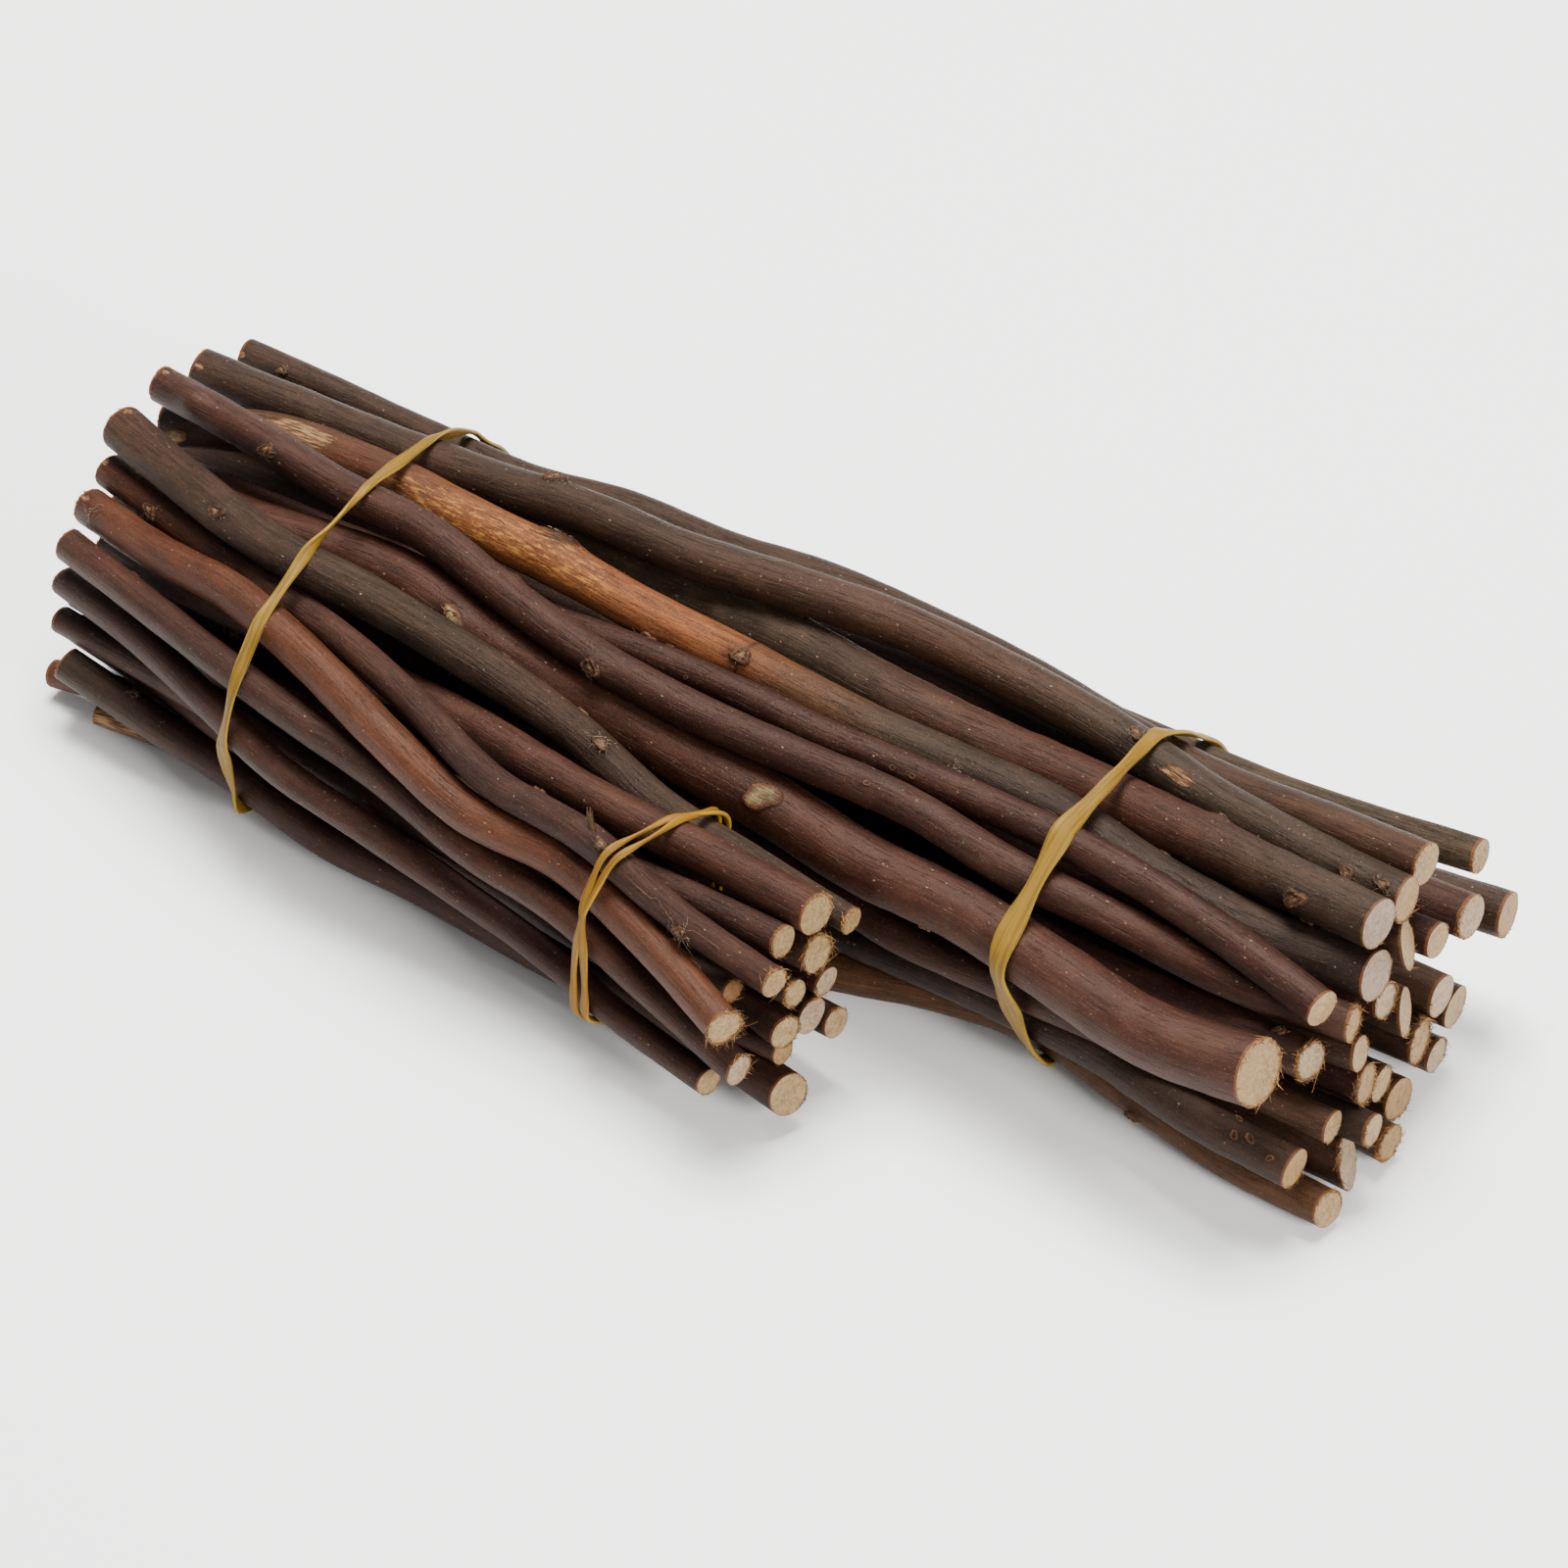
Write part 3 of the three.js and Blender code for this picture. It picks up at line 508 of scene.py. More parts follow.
class TwigBark:
    """A twig's mesh while it is shaped: where its vertices are on the twig, and their looks."""

    def __init__(self, form, mesh, barks, rng):
        rod = vertices_of(mesh)
        self.form = form
        self.share = rod[:, 2]
        self.rho = np.minimum(np.linalg.norm(rod[:, :2], axis=1), 1)
        self.angle = np.arctan2(rod[:, 1], rod[:, 0])
        self.radius = spline(np.column_stack([form.radii] * 2), self.share)[:, 0]
        self.on_side = self.rho > 0.999
        self.along = self.share * form.length / MM
        out = self.rho * self.radius / MM
        self.straight = np.column_stack([self.along, out * np.cos(self.angle), out * np.sin(self.angle)])
        lift = waves(rng, self.straight[:, :1], 22) * 0.035 + waves(rng, self.straight, 6) * 0.025
        self.reach = self.radius * (1 + lift)

        # The plain surface finds where the marks are
        plain = form.place(self.share, self.angle, self.rho * self.reach)
        facing = (plain - form.place(self.share, self.angle, self.rho * 0)) @ BACK
        self.pixels = in_picture(plain)
        self.unseen = np.where((facing > 0) & self.on_side, 0, OUT_OF_SIGHT)
        self.turned_away = (facing < 0) & self.on_side & (np.abs(self.share - 0.5) < 0.45)

        drift = waves(rng, self.straight[:, :1], 30) * 0.03
        self.tint = along_list([linear(c) for c in barks], self.share + drift)
        self.tint *= (1 + 0.16 * waves(rng, self.straight, 14))[:, None]
        self.bare = np.zeros(len(rod))

    def spot_at(self, u, v):
        """The vertex that shows at a pixel."""
        return int(np.argmin(np.linalg.norm(self.pixels - (u, v), axis=1) + self.unseen))

    def add_mark(self, mark, spot, size, rng):
        """Lifts, sinks, bares or colours the bark round a spot."""
        turn = np.abs((self.angle - self.angle[spot] + math.pi) % (2 * math.pi) - math.pi)
        run = np.abs(self.share - self.share[spot]) * self.form.length
        distance = np.hypot(run / MARK_LENGTHS.get(mark, PLAIN_MARK_LENGTH), turn * self.radius)
        near = np.exp(-((distance / size) ** 2))
        self.reach = self.reach + MARK_LIFTS.get(mark, 0) * size * near
        self.bare += near * BARED.get(mark, 0)
        if mark == "joint":
            self.tint *= 1 - 0.7 * np.exp(-((run / (0.6 * MM)) ** 2))[:, None]
        elif mark == "stub":
            self.reach = self.reach + near * size * 0.2 * waves(rng, self.straight, 1.6)
            # The bark round a stub is darkened: partly the stub's own dark grey, partly painted shade
            # round it
            self.tint *= 1 - 0.85 * np.minimum(near * 1.6, 1)[:, None]
        elif mark in PLATES:
            self.tint *= 1 - 0.4 * np.exp(-((distance / size / PLATE_HALO) ** 2))[:, None]

    def finish(self, piece, frayed, wood, groove, rng):
        """Gives the piece its final surface, with ragged rims and cut faces, and returns its places."""
        share, angle = self.share, self.angle
        ragged = (0.12 + 0.3 * frayed) * MM / self.form.length
        wobble = waves(rng, np.column_stack([np.cos(angle) * 3, np.sin(angle) * 3, share * 9]), 1.0)
        at_end = (share < 1e-6) | (share > 1 - 1e-6)
        shift = np.where(at_end, wobble * ragged * (share * 2 - 1), 0)
        surface = self.form.place(share + shift, angle, self.rho * self.reach)
        end_distance = np.minimum(self.along, self.form.length / MM - self.along)
        cut = np.where(self.on_side & ~at_end, -end_distance, self.rho)
        self.tint = np.where(self.on_side[:, None], self.tint, linear(wood))
        straight = self.straight + rng.uniform(0, 400, 3)
        finish_bark(piece, surface, straight, self.tint, self.bare, cut, groove)
        return surface


def finish_bark(piece, places, straight, tint, bare=0, cut=FAR_FROM_CUT, groove=PLAIN_GROOVE):
    """Sets the places of a piece's vertices and what the materials read there: the place on a straight
    twig in millimetres, the colour, how bare the wood is, the groove's strength, and "cut", which is
    minus the millimetres to the nearest end on the bark and the share of the radius on a cut face."""
    level = np.zeros(len(places))
    move_vertices(piece.data, places)
    paint(piece.data, "straight", "FLOAT_VECTOR", straight)
    paint(piece.data, "tint", "FLOAT_COLOR", with_alpha(np.clip(tint, 0, 1)))
    paint(piece.data, "bare", "FLOAT", level + bare)
    paint(piece.data, "cut", "FLOAT", level + cut)
    paint(piece.data, "groove", "FLOAT", level + groove)
    return piece


def knot_plate(kind, form, share, angle, reach, size, bark, rng):
    """A knot's own crisp plate, laid on the bark."""
    plate = copy_of(KNOT_PLATE, "plate")
    flat = vertices_of(plate.data)
    rho = np.linalg.norm(flat[:, :2], axis=1)
    turn = np.arctan2(flat[:, 1], flat[:, 0])
    heights, colours = PLATES[kind]
    tints = np.array([bark if c is None else np.array(linear(c)) * PLATE_BRIGHTNESS for c in colours])
    drift = 0.1 * np.sin(turn * 2 + rng.uniform(0, 6)) + 0.06 * np.sin(turn * 5 + rng.uniform(0, 6))
    inward = np.clip(1 - rho + drift * (1 - rho) * 4 * rho, 0, 1)
    height = np.interp(inward, PLATE_STEPS, heights)
    tint = np.column_stack([np.interp(inward, PLATE_STEPS, tints[:, i]) for i in range(3)])
    tint *= (1 + 0.35 * np.sin(turn + rng.uniform(0, 6)) * (rho < 0.8))[:, None]

    rough = 1 if kind == "knot" else 0.3
    ragged = 1 + rough * (0.16 * np.sin(turn * 3 + rng.uniform(0, 6)) + rng.normal(0, 0.06, len(flat)))
    swing = rng.uniform(-0.6, 0.6)
    narrow = rng.uniform(0.6, 0.85)
    long = flat[:, 0] * ragged * size * 1.1
    wide = flat[:, 1] * ragged * size * narrow
    along = long * math.cos(swing) - wide * math.sin(swing)
    around = long * math.sin(swing) + wide * math.cos(swing)
    lift = (height + rng.normal(0, 0.05, len(flat)) * rough) * size
    places = form.place(share + along / form.length, angle + around / reach, reach + lift)
    straight = np.column_stack([along, around, lift]) / MM + rng.uniform(0, 50, 3)
    return finish_bark(plate, places, straight, tint)


def make_hairs(roots, aims, curls, widths, tints):
    """Tapered hairs from each root along its aim, bent by its curl."""
    count = len(roots)
    piece = copy_of(FIBRE, "fibres")
    deselect()
    bpy.context.view_layer.objects.active = piece
    array = piece.modifiers.new("many", "ARRAY")
    array.count = count
    array.relative_offset_displace = (0, 0, 0)
    bpy.ops.object.modifier_apply(modifier="many")
    hair = vertices_of(piece.data).reshape(count, -1, 3)
    x, y, z = (hair[:, :, i, None] for i in range(3))
    curls = np.broadcast_to(curls, aims.shape)
    first = unit(np.cross(aims, curls + 1e-6))
    second = unit(np.cross(aims, first))
    places = roots[:, None] + aims[:, None] * z + curls[:, None] * z**2
    places += (first[:, None] * x + second[:, None] * y) * widths[:, None, None]
    places = places.reshape(-1, 3)
    return finish_bark(piece, places, places / MM, np.repeat(tints, hair.shape[1], axis=0))


def fray(form, end, reach, amount, rng):
    """Loose fibres round the rim of a cut end."""
    count = int(24 + 330 * amount**1.5)
    share = np.full(count, float(end))
    angle = rng.uniform(0, 2 * math.pi) + rng.normal(0, 0.4 + 1.1 * amount, count)
    roots = form.place(share, angle, reach * rng.uniform(0.88, 1.01, count))
    radial, run, _ = form.directions_at(share, angle, roots)
    run = run * (1 if end else -1)
    side = np.cross(run, radial)
    along = rng.uniform(-0.9, 0.6, (count, 1))
    out = rng.uniform(0.05, 0.6, (count, 1))
    across = rng.normal(0, 0.9, (count, 1))
    lengths = rng.uniform(0.2, 0.5 + 1.1 * amount, (count, 1)) * MM
    aims = unit(run * along + radial * out + side * across) * lengths
    bend_across = rng.normal(0, 1, (count, 1))
    bend_along = rng.normal(0, 0.6, (count, 1))
    curls = (side * bend_across - radial * 0.4 + run * bend_along) * lengths
    tints = np.array(linear(RIM)) * rng.uniform(0.15, 1.7, (count, 1))
    return make_hairs(roots, aims, curls, rng.uniform(0.07, 0.14, count) * MM, tints)


def tuft(form, share, angle, reach, size, rng):
    """Loose fibres on a knot."""
    count = int(12 + size / MM * 11)
    shares = share + rng.normal(0, 0.5, count) * size / form.length
    angles = angle + rng.normal(0, 0.4, count) * size / reach
    roots = form.place(shares, angles, np.full(count, reach))
    radial, run, side = form.directions_at(shares, angles, roots)
    spread = rng.normal(0, 1, (count, 2, 1))
    lengths = rng.uniform(0.2, 0.8, (count, 1)) * size
    aims = unit(radial * 0.7 + run * spread[:, 0] + side * spread[:, 1]) * lengths
    bends = rng.normal(0, 0.7, (count, 2, 1))
    curls = (side * bends[:, 0] + run * bends[:, 1] - radial * 0.5) * lengths
    tints = np.array(linear(THREAD)) * rng.uniform(0.5, 3.6, (count, 1))
    return make_hairs(roots, aims, curls, rng.uniform(0.04, 0.08, count) * MM, tints)


def spur(form, share, angle, reach, size, rng):
    """A short dry stub of a side shoot, a sheaf of splinters."""
    count = 14
    shares = share + rng.normal(0, 0.35 * MM, count) / form.length
    angles = angle + rng.normal(0, 0.3 * MM, count) / reach
    roots = form.place(shares, angles, np.full(count, reach - 0.3 * MM))
    radial = form.directions_at(shares, angles, roots)[0]
    lean = UP * 0.9 - RIGHT * 0.45 + rng.normal(0, 0.09, (count, 3))
    aims = unit(radial * 0.4 + lean) * size * rng.uniform(0.6, 1.1, (count, 1))
    tints = np.array(linear(DUSK)) * rng.uniform(0.4, 1.4, (count, 1))
    return make_hairs(roots, aims, RIGHT * size * 0.12, rng.uniform(0.35, 0.6, count) * MM, tints)


def thread(bark, surface, stops):
    """A long loose thread along the bark, over the places that show at the stops."""
    steps = np.linspace(0, len(stops) - 1, 90)
    us, vs = (np.interp(steps, range(len(stops)), [stop[i] for stop in stops]) for i in (0, 1))
    places = np.array([surface[bark.spot_at(u, v)] + BACK * 0.2 * MM for u, v in zip(us, vs)])
    for _ in range(3):
        places[1:-1] = (places[:-2] + 2 * places[1:-1] + places[2:]) / 4
    runs = np.diff(places, axis=0)
    widths = np.full(len(runs), 0.07 * MM)
    tints = np.tile(np.array(linear(THREAD)) * 2.2, (len(runs), 1))
    return make_hairs(places[:-1], runs * 1.1, runs * 0, widths, tints)


def loose_parts(bark, marks, rng):
    """The plates, tufts and spurs that are laid on the bark."""
    parts = []
    for mark, spot, size in marks:
        where = (bark.form, bark.share[spot], bark.angle[spot], bark.reach[spot])
        if mark in PLATES:
            parts.append(knot_plate(mark, *where, size, bark.tint[spot] * 1.2, rng))
        if mark == "knot":
            parts.append(tuft(*where, size * 0.7, rng))
        elif mark == "tuft":
            parts.append(tuft(*where, size, rng))
        elif mark == "spur":
            parts.append(spur(*where, size, rng))
    return parts


def make_twig(node, materials):
    """The dressed twig that replaces a CAD twig."""
    barks, wood, frayed, roundness, lean, marks = TWIGS[node]
    kind, number = node.split("_")[0], int(node[-2:])
    rng = np.random.default_rng(number + (SHORT_SEED if kind == "short" else 0))
    form = TwigForm(node, roundness, lean, rng)
    piece = copy_of(RODS[kind, node in HIDDEN_TWIGS], f"{kind}_stick_{number:02d}")
    bark = TwigBark(form, piece.data, barks, rng)
    marks = [(mark, bark.spot_at(u, v), size * MM) for mark, u, v, size in marks]
    for mark in marks:
        bark.add_mark(*mark, rng)
    for spot in rng.choice(np.flatnonzero(bark.turned_away), BACK_MARKS):
        mark = "knot" if rng.random() < 0.7 else "wart"
        marks.append((mark, int(spot), rng.uniform(1.1, 2) * MM))
    surface = bark.finish(piece, frayed, wood, GROOVED.get(node, PLAIN_GROOVE), rng)

    parts = [piece, *loose_parts(bark, marks, rng)]
    for end, amount in ((0, frayed * LEFT_FRAY), (1, frayed)):
        parts.append(fray(form, end, bark.radius[bark.share == end].max(), amount, rng))
    if node in THREADS:
        parts.append(thread(bark, surface, THREADS[node]))
    piece = join(parts, piece.name)
    piece.data.materials.clear()
    for material in materials:
        piece.data.materials.append(material)
    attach(piece, "root")
    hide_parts(node)
    return piece


# A rubber band
def band_route(node):
    """The middle line of a CAD band's loop, at even steps, and its length."""
    places = np.unique(vertices_of(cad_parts[node].data).round(6), axis=0)
    centre = places.mean(axis=0)
    flat = places[:, 1:] - centre[1:]
    angles = np.linspace(-math.pi, math.pi, BAND_ANGLES + 1)[:-1]
    directions = np.column_stack([np.cos(angles), np.sin(angles)])
    support = (directions @ flat.T).max(axis=1)
    reaches = np.array([np.min(support / np.maximum(directions @ d, 1e-3)) for d in directions])
    ring = directions * reaches[:, None]

    # The loop leans as the CAD band does
    across = np.column_stack([np.ones(len(places)), places[:, 1:]])
    lean = np.linalg.lstsq(across, places[:, 0], rcond=None)[0]
    loop = np.column_stack([np.zeros(len(ring)), ring + centre[1:]])
    loop[:, 0] = lean[0] + loop[:, 1] * lean[1] + loop[:, 2] * lean[2]

    closed = np.vstack([loop, loop[:1]])
    lengths = np.concatenate([[0], np.cumsum(np.linalg.norm(np.diff(closed, axis=0), axis=1))])
    even = np.linspace(0, lengths[-1], BAND_STEPS + 1)[:-1]
    line = np.column_stack([np.interp(even, lengths, closed[:, i]) for i in range(3)])
    for _ in range(4):
        line = (np.roll(line, 1, axis=0) + 2 * line + np.roll(line, -1, axis=0)) / 4
    return line, lengths[-1]


def plain_ring():
    """A torus, with each vertex's step along the band and its angle round the strand."""
    deselect()
    bpy.ops.mesh.primitive_torus_add(
        major_segments=BAND_STEPS, minor_segments=BAND_SIDES, major_radius=1, minor_radius=0.1
    )
    bpy.ops.object.shade_smooth()
    ring = bpy.context.object
    torus = vertices_of(ring.data)
    turns = np.arctan2(torus[:, 1], torus[:, 0]) / (2 * math.pi)
    step = np.round(turns * BAND_STEPS).astype(int) % BAND_STEPS
    section = np.arctan2(torus[:, 2], np.linalg.norm(torus[:, :2], axis=1) - 1)
    return ring, step, section


def squared(wave):
    """A sine or cosine with fuller sides, for a strand's flat section."""
    return np.sign(wave) * np.abs(wave) ** 0.45


def make_band(node, material):
    """The twisted band that replaces a CAD band."""
    strands, width, thickness, twist, narrow, colour = BANDS[node]
    line, length = band_route(node)
    rng = np.random.default_rng(len(node) * 7)
    run = unit(np.roll(line, -1, axis=0) - np.roll(line, 1, axis=0))
    side = np.tile([1.0, 0.0, 0.0], (BAND_STEPS, 1))
    side = unit(side - run * (side * run).sum(axis=1)[:, None])
    outward = np.cross(run, side)
    outward *= np.sign(((line - line.mean(axis=0)) * outward).sum(axis=1))[:, None]
    around = np.linspace(0, 2 * math.pi, BAND_STEPS, endpoint=False)

    # Where the picture shows the band narrow, it is gathered and turned on edge
    unseen = np.where((outward @ BACK) > 0, 0, OUT_OF_SIGHT)
    narrowest = np.argmin(np.linalg.norm(in_picture(line) - narrow, axis=1) + unseen)
    half = BAND_STEPS / 2
    steps_away = (np.arange(BAND_STEPS) - narrowest + half) % BAND_STEPS - half
    gathered = np.exp(-((steps_away / GATHER_STEPS) ** 2))

    parts = []
    for strand in range(strands):
        ring, step, section = plain_ring()
        phase = rng.uniform(0, 2 * math.pi, 3)
        turn = np.radians(twist) * (np.sin(2 * around + phase[0]) + np.sin(9 * around + phase[1])) / 2
        turn = turn + 0.9 * gathered
        swell = (1 + 0.2 * np.sin(11 * around + phase[2])) * (1 - 0.5 * gathered)
        gap = (strand - (strands - 1) / 2) * width * STRAND_SPACING
        weave = gap * np.cos(around * 2 + phase[2])
        flat = squared(np.cos(section)) * thickness / 2
        wide = squared(np.sin(section)) * (width / 2) * swell[step]
        c, s = np.cos(turn[step]), np.sin(turn[step])
        out = flat * c - wide * s - BAND_SINK
        across = flat * s + wide * c + weave[step]
        places = line[step] + outward[step] * out[:, None] + side[step] * across[:, None]
        places[:, 2] = np.maximum(places[:, 2], FLOOR_GAP)
        move_vertices(ring.data, places)
        straight = np.column_stack([step / BAND_STEPS * length, wide, flat]) / MM
        paint(ring.data, "straight", "FLOAT_VECTOR", straight)
        paint(ring.data, "edge", "FLOAT", np.abs(np.sin(section)))
        paint(ring.data, "tint", "FLOAT_COLOR", with_alpha(np.tile(linear(colour), (len(places), 1))))
        parts.append(ring)
    band = join(parts, node.replace("band", "rubber"))
    band.data.materials.clear()
    band.data.materials.append(material)
    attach(band, "root")
    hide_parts(node)
    return band


# Materials
COLOUR, VECTOR, NUMBER = 0, 1, 2  # the outputs of an attribute


class Link:
    """A socket in a material. Arithmetic on it adds the nodes."""

    def __init__(self, tree, socket):
        self.tree = tree
        self.socket = socket

    def add(self, kind, inputs=None, output=0, **settings):
        node = self.tree.nodes.new(kind)
        for name, value in settings.items():
            setattr(node, name, value)
        for name, value in (inputs or {}).items():
            if isinstance(value, Link):
                self.tree.links.new(value.socket, node.inputs[name])
            else:
                node.inputs[name].default_value = value
        return Link(self.tree, node.outputs[output])

    def attribute(self, name, output):
        """What a mesh holds under a name, as a COLOUR, a VECTOR or a NUMBER."""
        return self.add("ShaderNodeAttribute", output=output, attribute_name=name)

    def math(self, operation, *values):
        return self.add("ShaderNodeMath", dict(enumerate(values)), operation=operation)

    def __add__(self, other):
        return self.math("ADD", self, other)

    def __radd__(self, other):
        return self.math("ADD", other, self)

    def __sub__(self, other):
        return self.math("SUBTRACT", self, other)

    def __rsub__(self, other):
        return self.math("SUBTRACT", other, self)

    def __mul__(self, other):
        return self.math("MULTIPLY", self, other)

    def __rmul__(self, other):
        return self.math("MULTIPLY", other, self)

    def between(self, low, high):
        """0 below low, 1 above high, and smooth in between."""
        inputs = {"Value": self, "From Min": low, "From Max": high}
        return self.add("ShaderNodeMapRange", inputs, interpolation_type="SMOOTHSTEP")

    def scaled(self, share):
        return self.add("ShaderNodeVectorMath", {0: self, "Scale": share}, operation="SCALE")

    def stretched(self, x, y, z):
        return self.add("ShaderNodeVectorMath", {0: self, 1: (x, y, z)}, operation="MULTIPLY")

    def noise(self, scale, detail=3, rough=0.55):
        inputs = {"Vector": self, "Scale": scale, "Detail": detail, "Roughness": rough}
        return self.add("ShaderNodeTexNoise", inputs)

    def cells(self, scale):
        """The distance to the middle of the nearest of many scattered spots."""
        inputs = {"Vector": self, "Scale": scale, "Randomness": 1}
        return self.add("ShaderNodeTexVoronoi", inputs)

    def mixed(self, share, other, blend="MIX"):
        """This colour mixed with another by a share."""
        first, second = (v if isinstance(v, Link) else (*linear(v), 1) for v in (self, other))
        return self.add(
            "ShaderNodeMix", {0: share, 6: first, 7: second}, output=2, data_type="RGBA", blend_type=blend
        )


def new_material(name):
    """An empty material, its shader, and a link from which the rest of it is built."""
    material = bpy.data.materials.new(name)
    material.use_nodes = True
    tree = material.node_tree
    tree.nodes.clear()
    shader = tree.nodes.new("ShaderNodeBsdfPrincipled")
    output = tree.nodes.new("ShaderNodeOutputMaterial")
    tree.links.new(shader.outputs[0], output.inputs[0])
    return material, shader, Link(tree, None)


def connect(link, shader, name):
    """Feeds a link into one of the shader's sockets."""
    link.tree.links.new(link.socket, shader.inputs[name])


def bumped(height, strength, distance):
    """The bumps that a height makes, for the shader's normal."""
    inputs = {"Height": height, "Strength": strength, "Distance": distance}
    return height.add("ShaderNodeBump", inputs)


def bark_material(name):
    """Bark with streaks, cracks and pale specks, bare stretches, golden flakes and torn rims."""
    material, shader, start = new_material(name)
    straight = start.attribute("straight", VECTOR)
    tint = start.attribute("tint", COLOUR)
    bare = start.attribute("bare", NUMBER)
    cut = start.attribute("cut", NUMBER)
    groove = start.attribute("groove", NUMBER)

    streaks = straight.stretched(0.07, 1, 1).noise(0.9, 4, 0.65)
    grain = straight.stretched(0.07, 1, 1).noise(2.4, 3, 0.7)
    cracks = straight.stretched(0.06, 1, 1).noise(1.9, 3, 0.6).between(0.57, 0.68)
    blotches = straight.stretched(0.5, 1, 1).noise(0.16, 4, 0.6)
    dust = straight.noise(2.0, 3, 0.75)
    grit = straight.stretched(0.5, 1, 1).noise(3.6, 3, 0.85)
    ridges = straight.stretched(0.12, 1, 1).noise(2.0, 3)
    flakes = straight.stretched(0.2, 1, 1).noise(1.3, 4, 0.8).between(0.5, 0.6)
    flecks = 1 - straight.stretched(0.6, 1, 1).cells(1.4).between(0.06, 0.14)
    flecks = flecks * dust.between(0.48, 0.56)
    dots = straight.stretched(0.6, 1, 1).cells(0.6) + (grain - 0.5) * 0.3
    lenticels = (1 - dots.between(0.05, 0.13)) * streaks.between(0.42, 0.56) * dust.between(0.44, 0.56)

    light = 0.2 + 0.18 * streaks.between(0.3, 0.72) + (grain.between(0.35, 0.68) - 0.5) * groove * 0.3
    light = light + blotches.between(0.35, 0.7) * 0.12 + (grit.between(0.36, 0.64) - 0.5) * 0.22
    colour = tint.scaled(light)
    colour = colour.mixed(blotches.between(0.5, 0.75) * 0.3, BLOTCH)
    colour = colour.mixed(cracks * (0.05 + 0.45 * groove), CRACK)
    colour = colour.mixed(dust.between(0.56, 0.66) * grit.between(0.5, 0.6) * 0.5, DUST)
    colour = colour.mixed(flecks * 0.6, FLECK)
    colour = colour.mixed(lenticels * 0.85, LENTICEL)
    peeled = (bare + (streaks - 0.5) * 0.9 + (dust - 0.5) * 0.4).between(0.4, 0.55)
    colour = colour.mixed(peeled, BARE_WOOD)
    colour = colour.mixed(peeled * ridges.between(0.47, 0.58), BARE_RIDGE)
    colour = colour.mixed(peeled * (1 - ridges.between(0.36, 0.45)) * 0.85, BARE_FURROW)
    colour = colour.mixed(flakes * (0 - bare).between(0.15, 0.7) * 0.5, GOLD_FLAKE)
    torn = (cut + dust * 1.2 + streaks - 1.0).between(-0.3, 0.1)
    colour = colour.mixed(torn * 0.5, TORN_RIM)
    connect(colour, shader, "Base Color")

    connect(0.2 + 0.28 * blotches + 0.2 * dust + 0.2 * groove, shader, "Roughness")
    relief = streaks * 0.5 + grain * groove * 0.7 - cracks * 0.3 + lenticels * 0.3 + grit * 0.35
    connect(bumped(relief + ridges * peeled, 0.75, 0.45 * MM), shader, "Normal")
    shader.inputs["Specular IOR Level"].default_value = 0.24
    shader.inputs["Specular Tint"].default_value = (1, 0.76, 0.64, 1)
    return material


def cut_material():
    """A sawn face: dark and pale grain, rings, stains, a pale pith and a dark line of inner bark."""
    material, shader, start = new_material("cut_wood")
    straight = start.attribute("straight", VECTOR)
    tint = start.attribute("tint", COLOUR)
    rim = start.attribute("cut", NUMBER)

    grain = straight.noise(1.5, 4, 0.8)
    patches = straight.noise(0.5, 3)
    wave = rim * 26 + patches * 9
    rings = wave.math("SINE", wave)
    colour = tint.mixed(grain.between(0.49, 0.56) * 0.9, DARK_GRAIN)
    colour = colour.mixed((1 - grain).between(0.5, 0.57) * 0.85, PALE_GRAIN)
    colour = colour.mixed(rings.between(0.3, 1.0) * 0.26, SOFT_RING)
    colour = colour.mixed(patches.between(0.45, 0.65) * 0.3, STAIN)
    off_ring = rim - 0.6 + (patches - 0.5) * 0.3
    ring_line = 1 - off_ring.math("ABSOLUTE", off_ring).between(0.02, 0.06)
    colour = colour.mixed(ring_line * 0.5, RING_LINE)
    pith = 1 - (rim + grain * 0.3 + patches * 0.2).between(0.42, 0.52)
    colour = colour.mixed(pith * 0.6, PITH)
    inner_bark = (rim + grain * 0.08).between(0.96, 1.0)
    colour = colour.mixed(inner_bark * 0.9, INNER_BARK)
    connect(colour, shader, "Base Color")
    shader.inputs["Roughness"].default_value = 0.85
    connect(bumped(grain + patches * 0.3, 1.0, 0.5 * MM), shader, "Normal")
    return material


def rubber_material():
    """Golden rubber, cloudy, with folds along it whose creases are darkened with painted shade, and paler
    edges.
    """
    material, shader, start = new_material("rubber")
    straight = start.attribute("straight", VECTOR)
    tint = start.attribute("tint", COLOUR)
    edge = start.attribute("edge", NUMBER)

    cloud = straight.stretched(0.12, 1, 1).noise(1.1, 3)
    fine = straight.stretched(0.2, 1, 1).noise(5, 2)
    folds = straight.stretched(0.03, 1, 0).noise(1.5, 2).between(0.52, 0.6)
    colour = tint.mixed(cloud.between(0.35, 0.7) * 0.4, RUBBER_CLOUD)
    # Painted shade along the creases of the folds
    colour = colour.mixed(folds * 0.45, FOLD_SHADE)
    colour = colour.mixed(edge.between(0.8, 1.0) * 0.5, RUBBER_EDGE)
    connect(colour, shader, "Base Color")
    connect(0.42 + 0.2 * cloud, shader, "Roughness")
    connect(bumped(fine * 0.3 + cloud * 0.5 - folds * 0.6, 0.5, 0.25 * MM), shader, "Normal")
    shader.inputs["Specular IOR Level"].default_value = 0.3
    shader.inputs["Specular Tint"].default_value = (1, 0.85, 0.55, 1)
    shader.inputs["Subsurface Weight"].default_value = 0.05
    shader.inputs["Subsurface Radius"].default_value = (0.004, 0.002, 0.0008)
    shader.inputs["Subsurface Scale"].default_value = 0.3
    return material


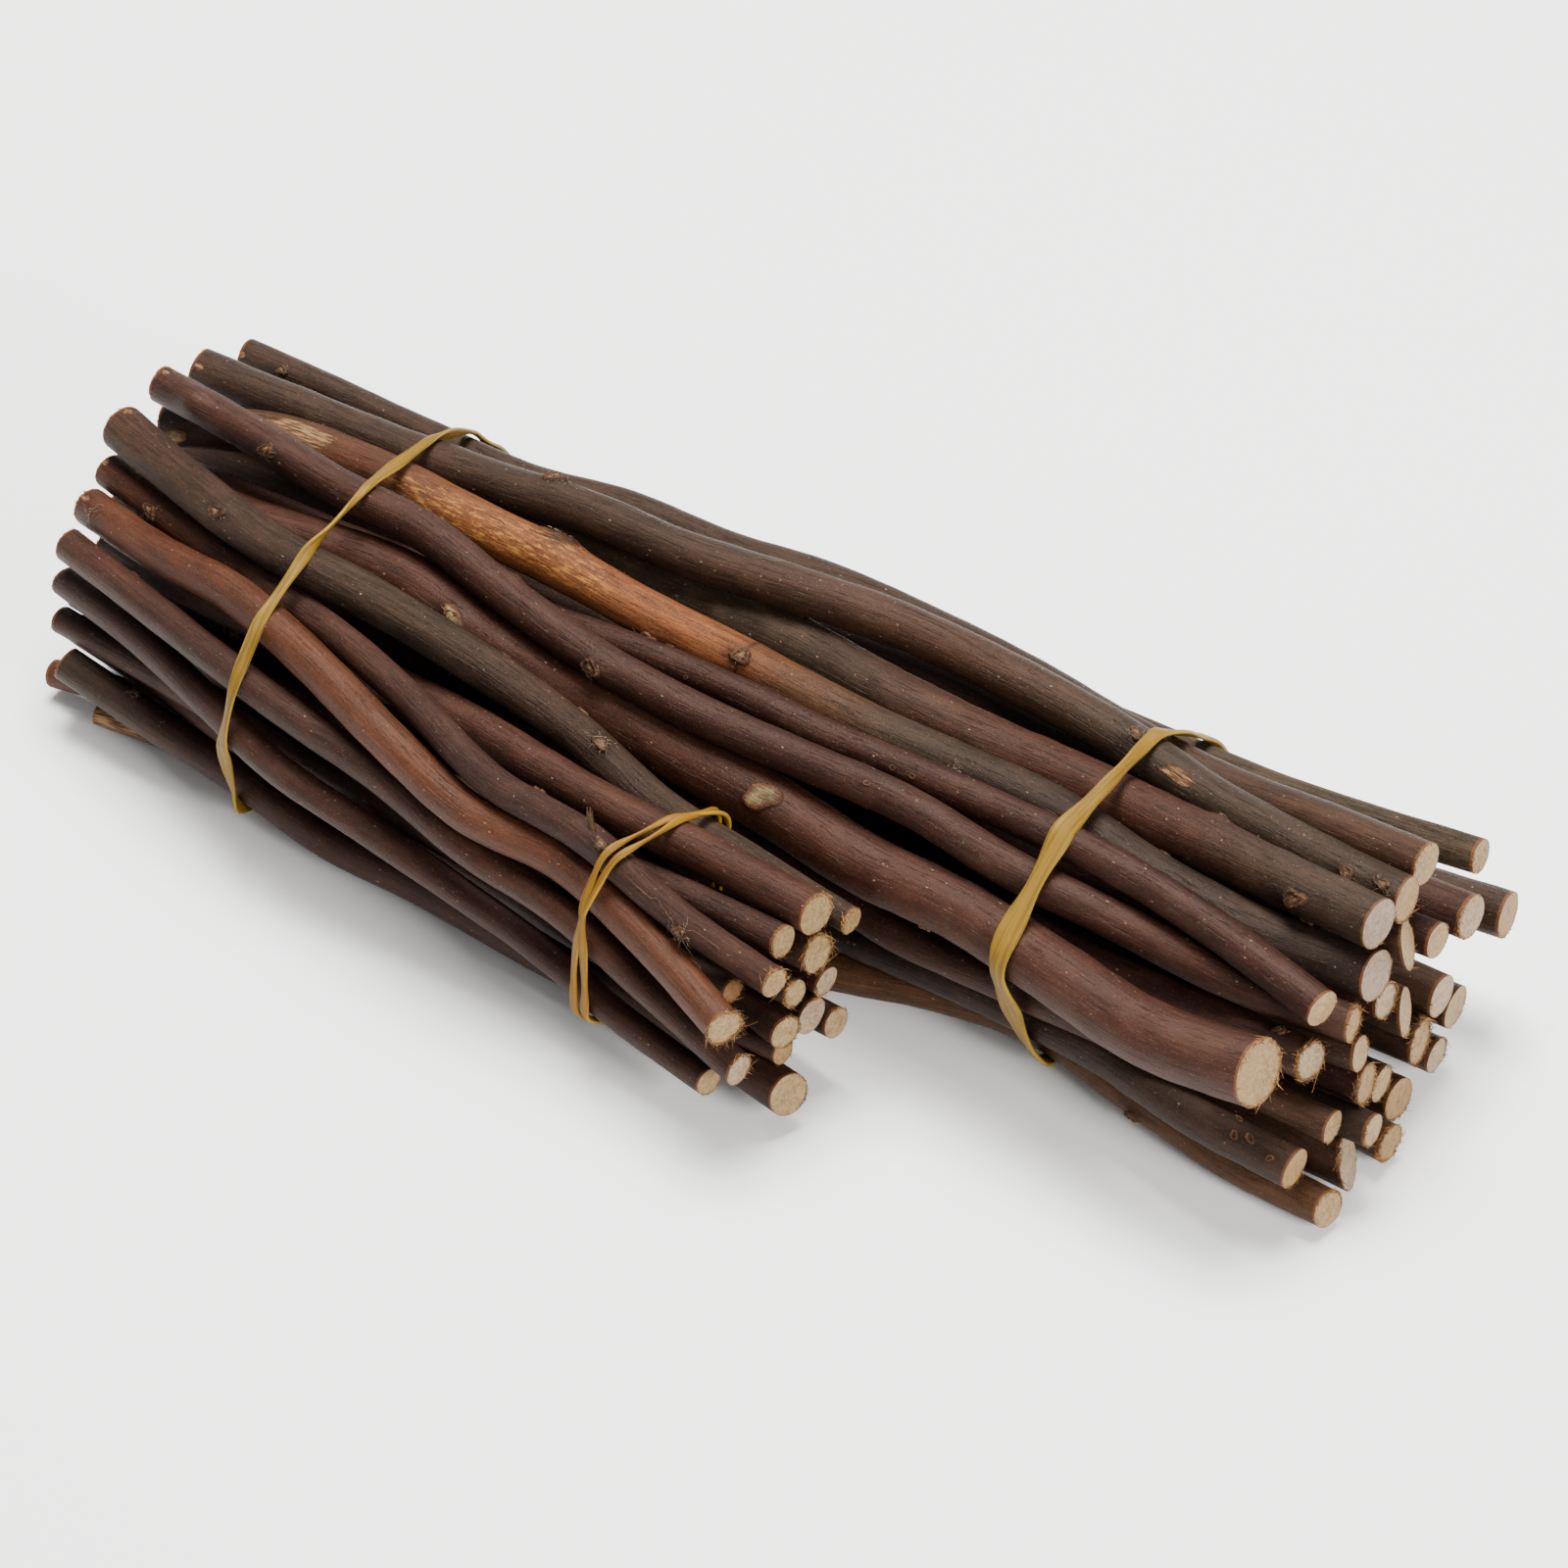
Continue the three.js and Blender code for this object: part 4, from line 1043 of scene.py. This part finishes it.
# The stage
def make_floor():
    deselect()
    bpy.ops.mesh.primitive_plane_add(size=FLOOR_SIZE, location=(0, 0, -FLOOR_DROP))
    floor = bpy.context.object
    floor.name = "floor"
    material, shader, _ = new_material("floor")
    shader.inputs["Base Color"].default_value = (*linear(FLOOR_WHITE), 1)
    shader.inputs["Roughness"].default_value = 0.9
    floor.data.materials.append(material)


def add_light(name, place, size, power, colour):
    """A square lamp that faces the bundle."""
    data = bpy.data.lights.new(name, "AREA")
    data.shape = "RECTANGLE"
    data.size = data.size_y = size
    data.energy = power
    data.color = colour
    lamp = bpy.data.objects.new(name, data)
    lamp.location = place
    lamp.rotation_mode = "QUATERNION"
    lamp.rotation_quaternion = (-Vector(place)).to_track_quat("-Z", "Y")
    bpy.context.scene.collection.objects.link(lamp)


def make_light():
    world = bpy.data.worlds.new("studio")
    world.use_nodes = True
    background = world.node_tree.nodes["Background"]
    background.inputs["Color"].default_value = (1, 1, 1, 1)
    background.inputs["Strength"].default_value = SKY_STRENGTH
    bpy.context.scene.world = world
    add_light("overhead", **OVERHEAD)
    add_light("right", **FROM_RIGHT)


def make_camera():
    data = bpy.data.cameras.new("camera")
    data.sensor_width = SENSOR
    data.lens = FOCAL_PIXELS / PICTURE * SENSOR
    camera = bpy.data.objects.new("camera", data)
    back = Vector(BACK)
    camera.location = TARGET + back * DISTANCE
    camera.rotation_mode = "QUATERNION"
    camera.rotation_quaternion = (-back).to_track_quat("-Z", "Y")
    bpy.context.scene.collection.objects.link(camera)
    bpy.context.scene.camera = camera


make_floor()
make_light()
make_camera()

RODS = {(kind, False): straight_twig(*cuts) for kind, cuts in SHOWN_CUTS.items()}
RODS.update({(kind, True): straight_twig(*cuts) for kind, cuts in HIDDEN_CUTS.items()})
FIBRE = straight_fibre()
KNOT_PLATE = flat_knot()

cut_wood = cut_material()
barks = {"long": bark_material("long_bark"), "short": bark_material("short_bark")}
for twig in TWIGS:
    make_twig(twig, [barks[twig.split("_")[0]], cut_wood])
rubber = rubber_material()
for band in BANDS:
    make_band(band, rubber)
for original in [*RODS.values(), FIBRE, KNOT_PLATE]:
    bpy.data.objects.remove(original)
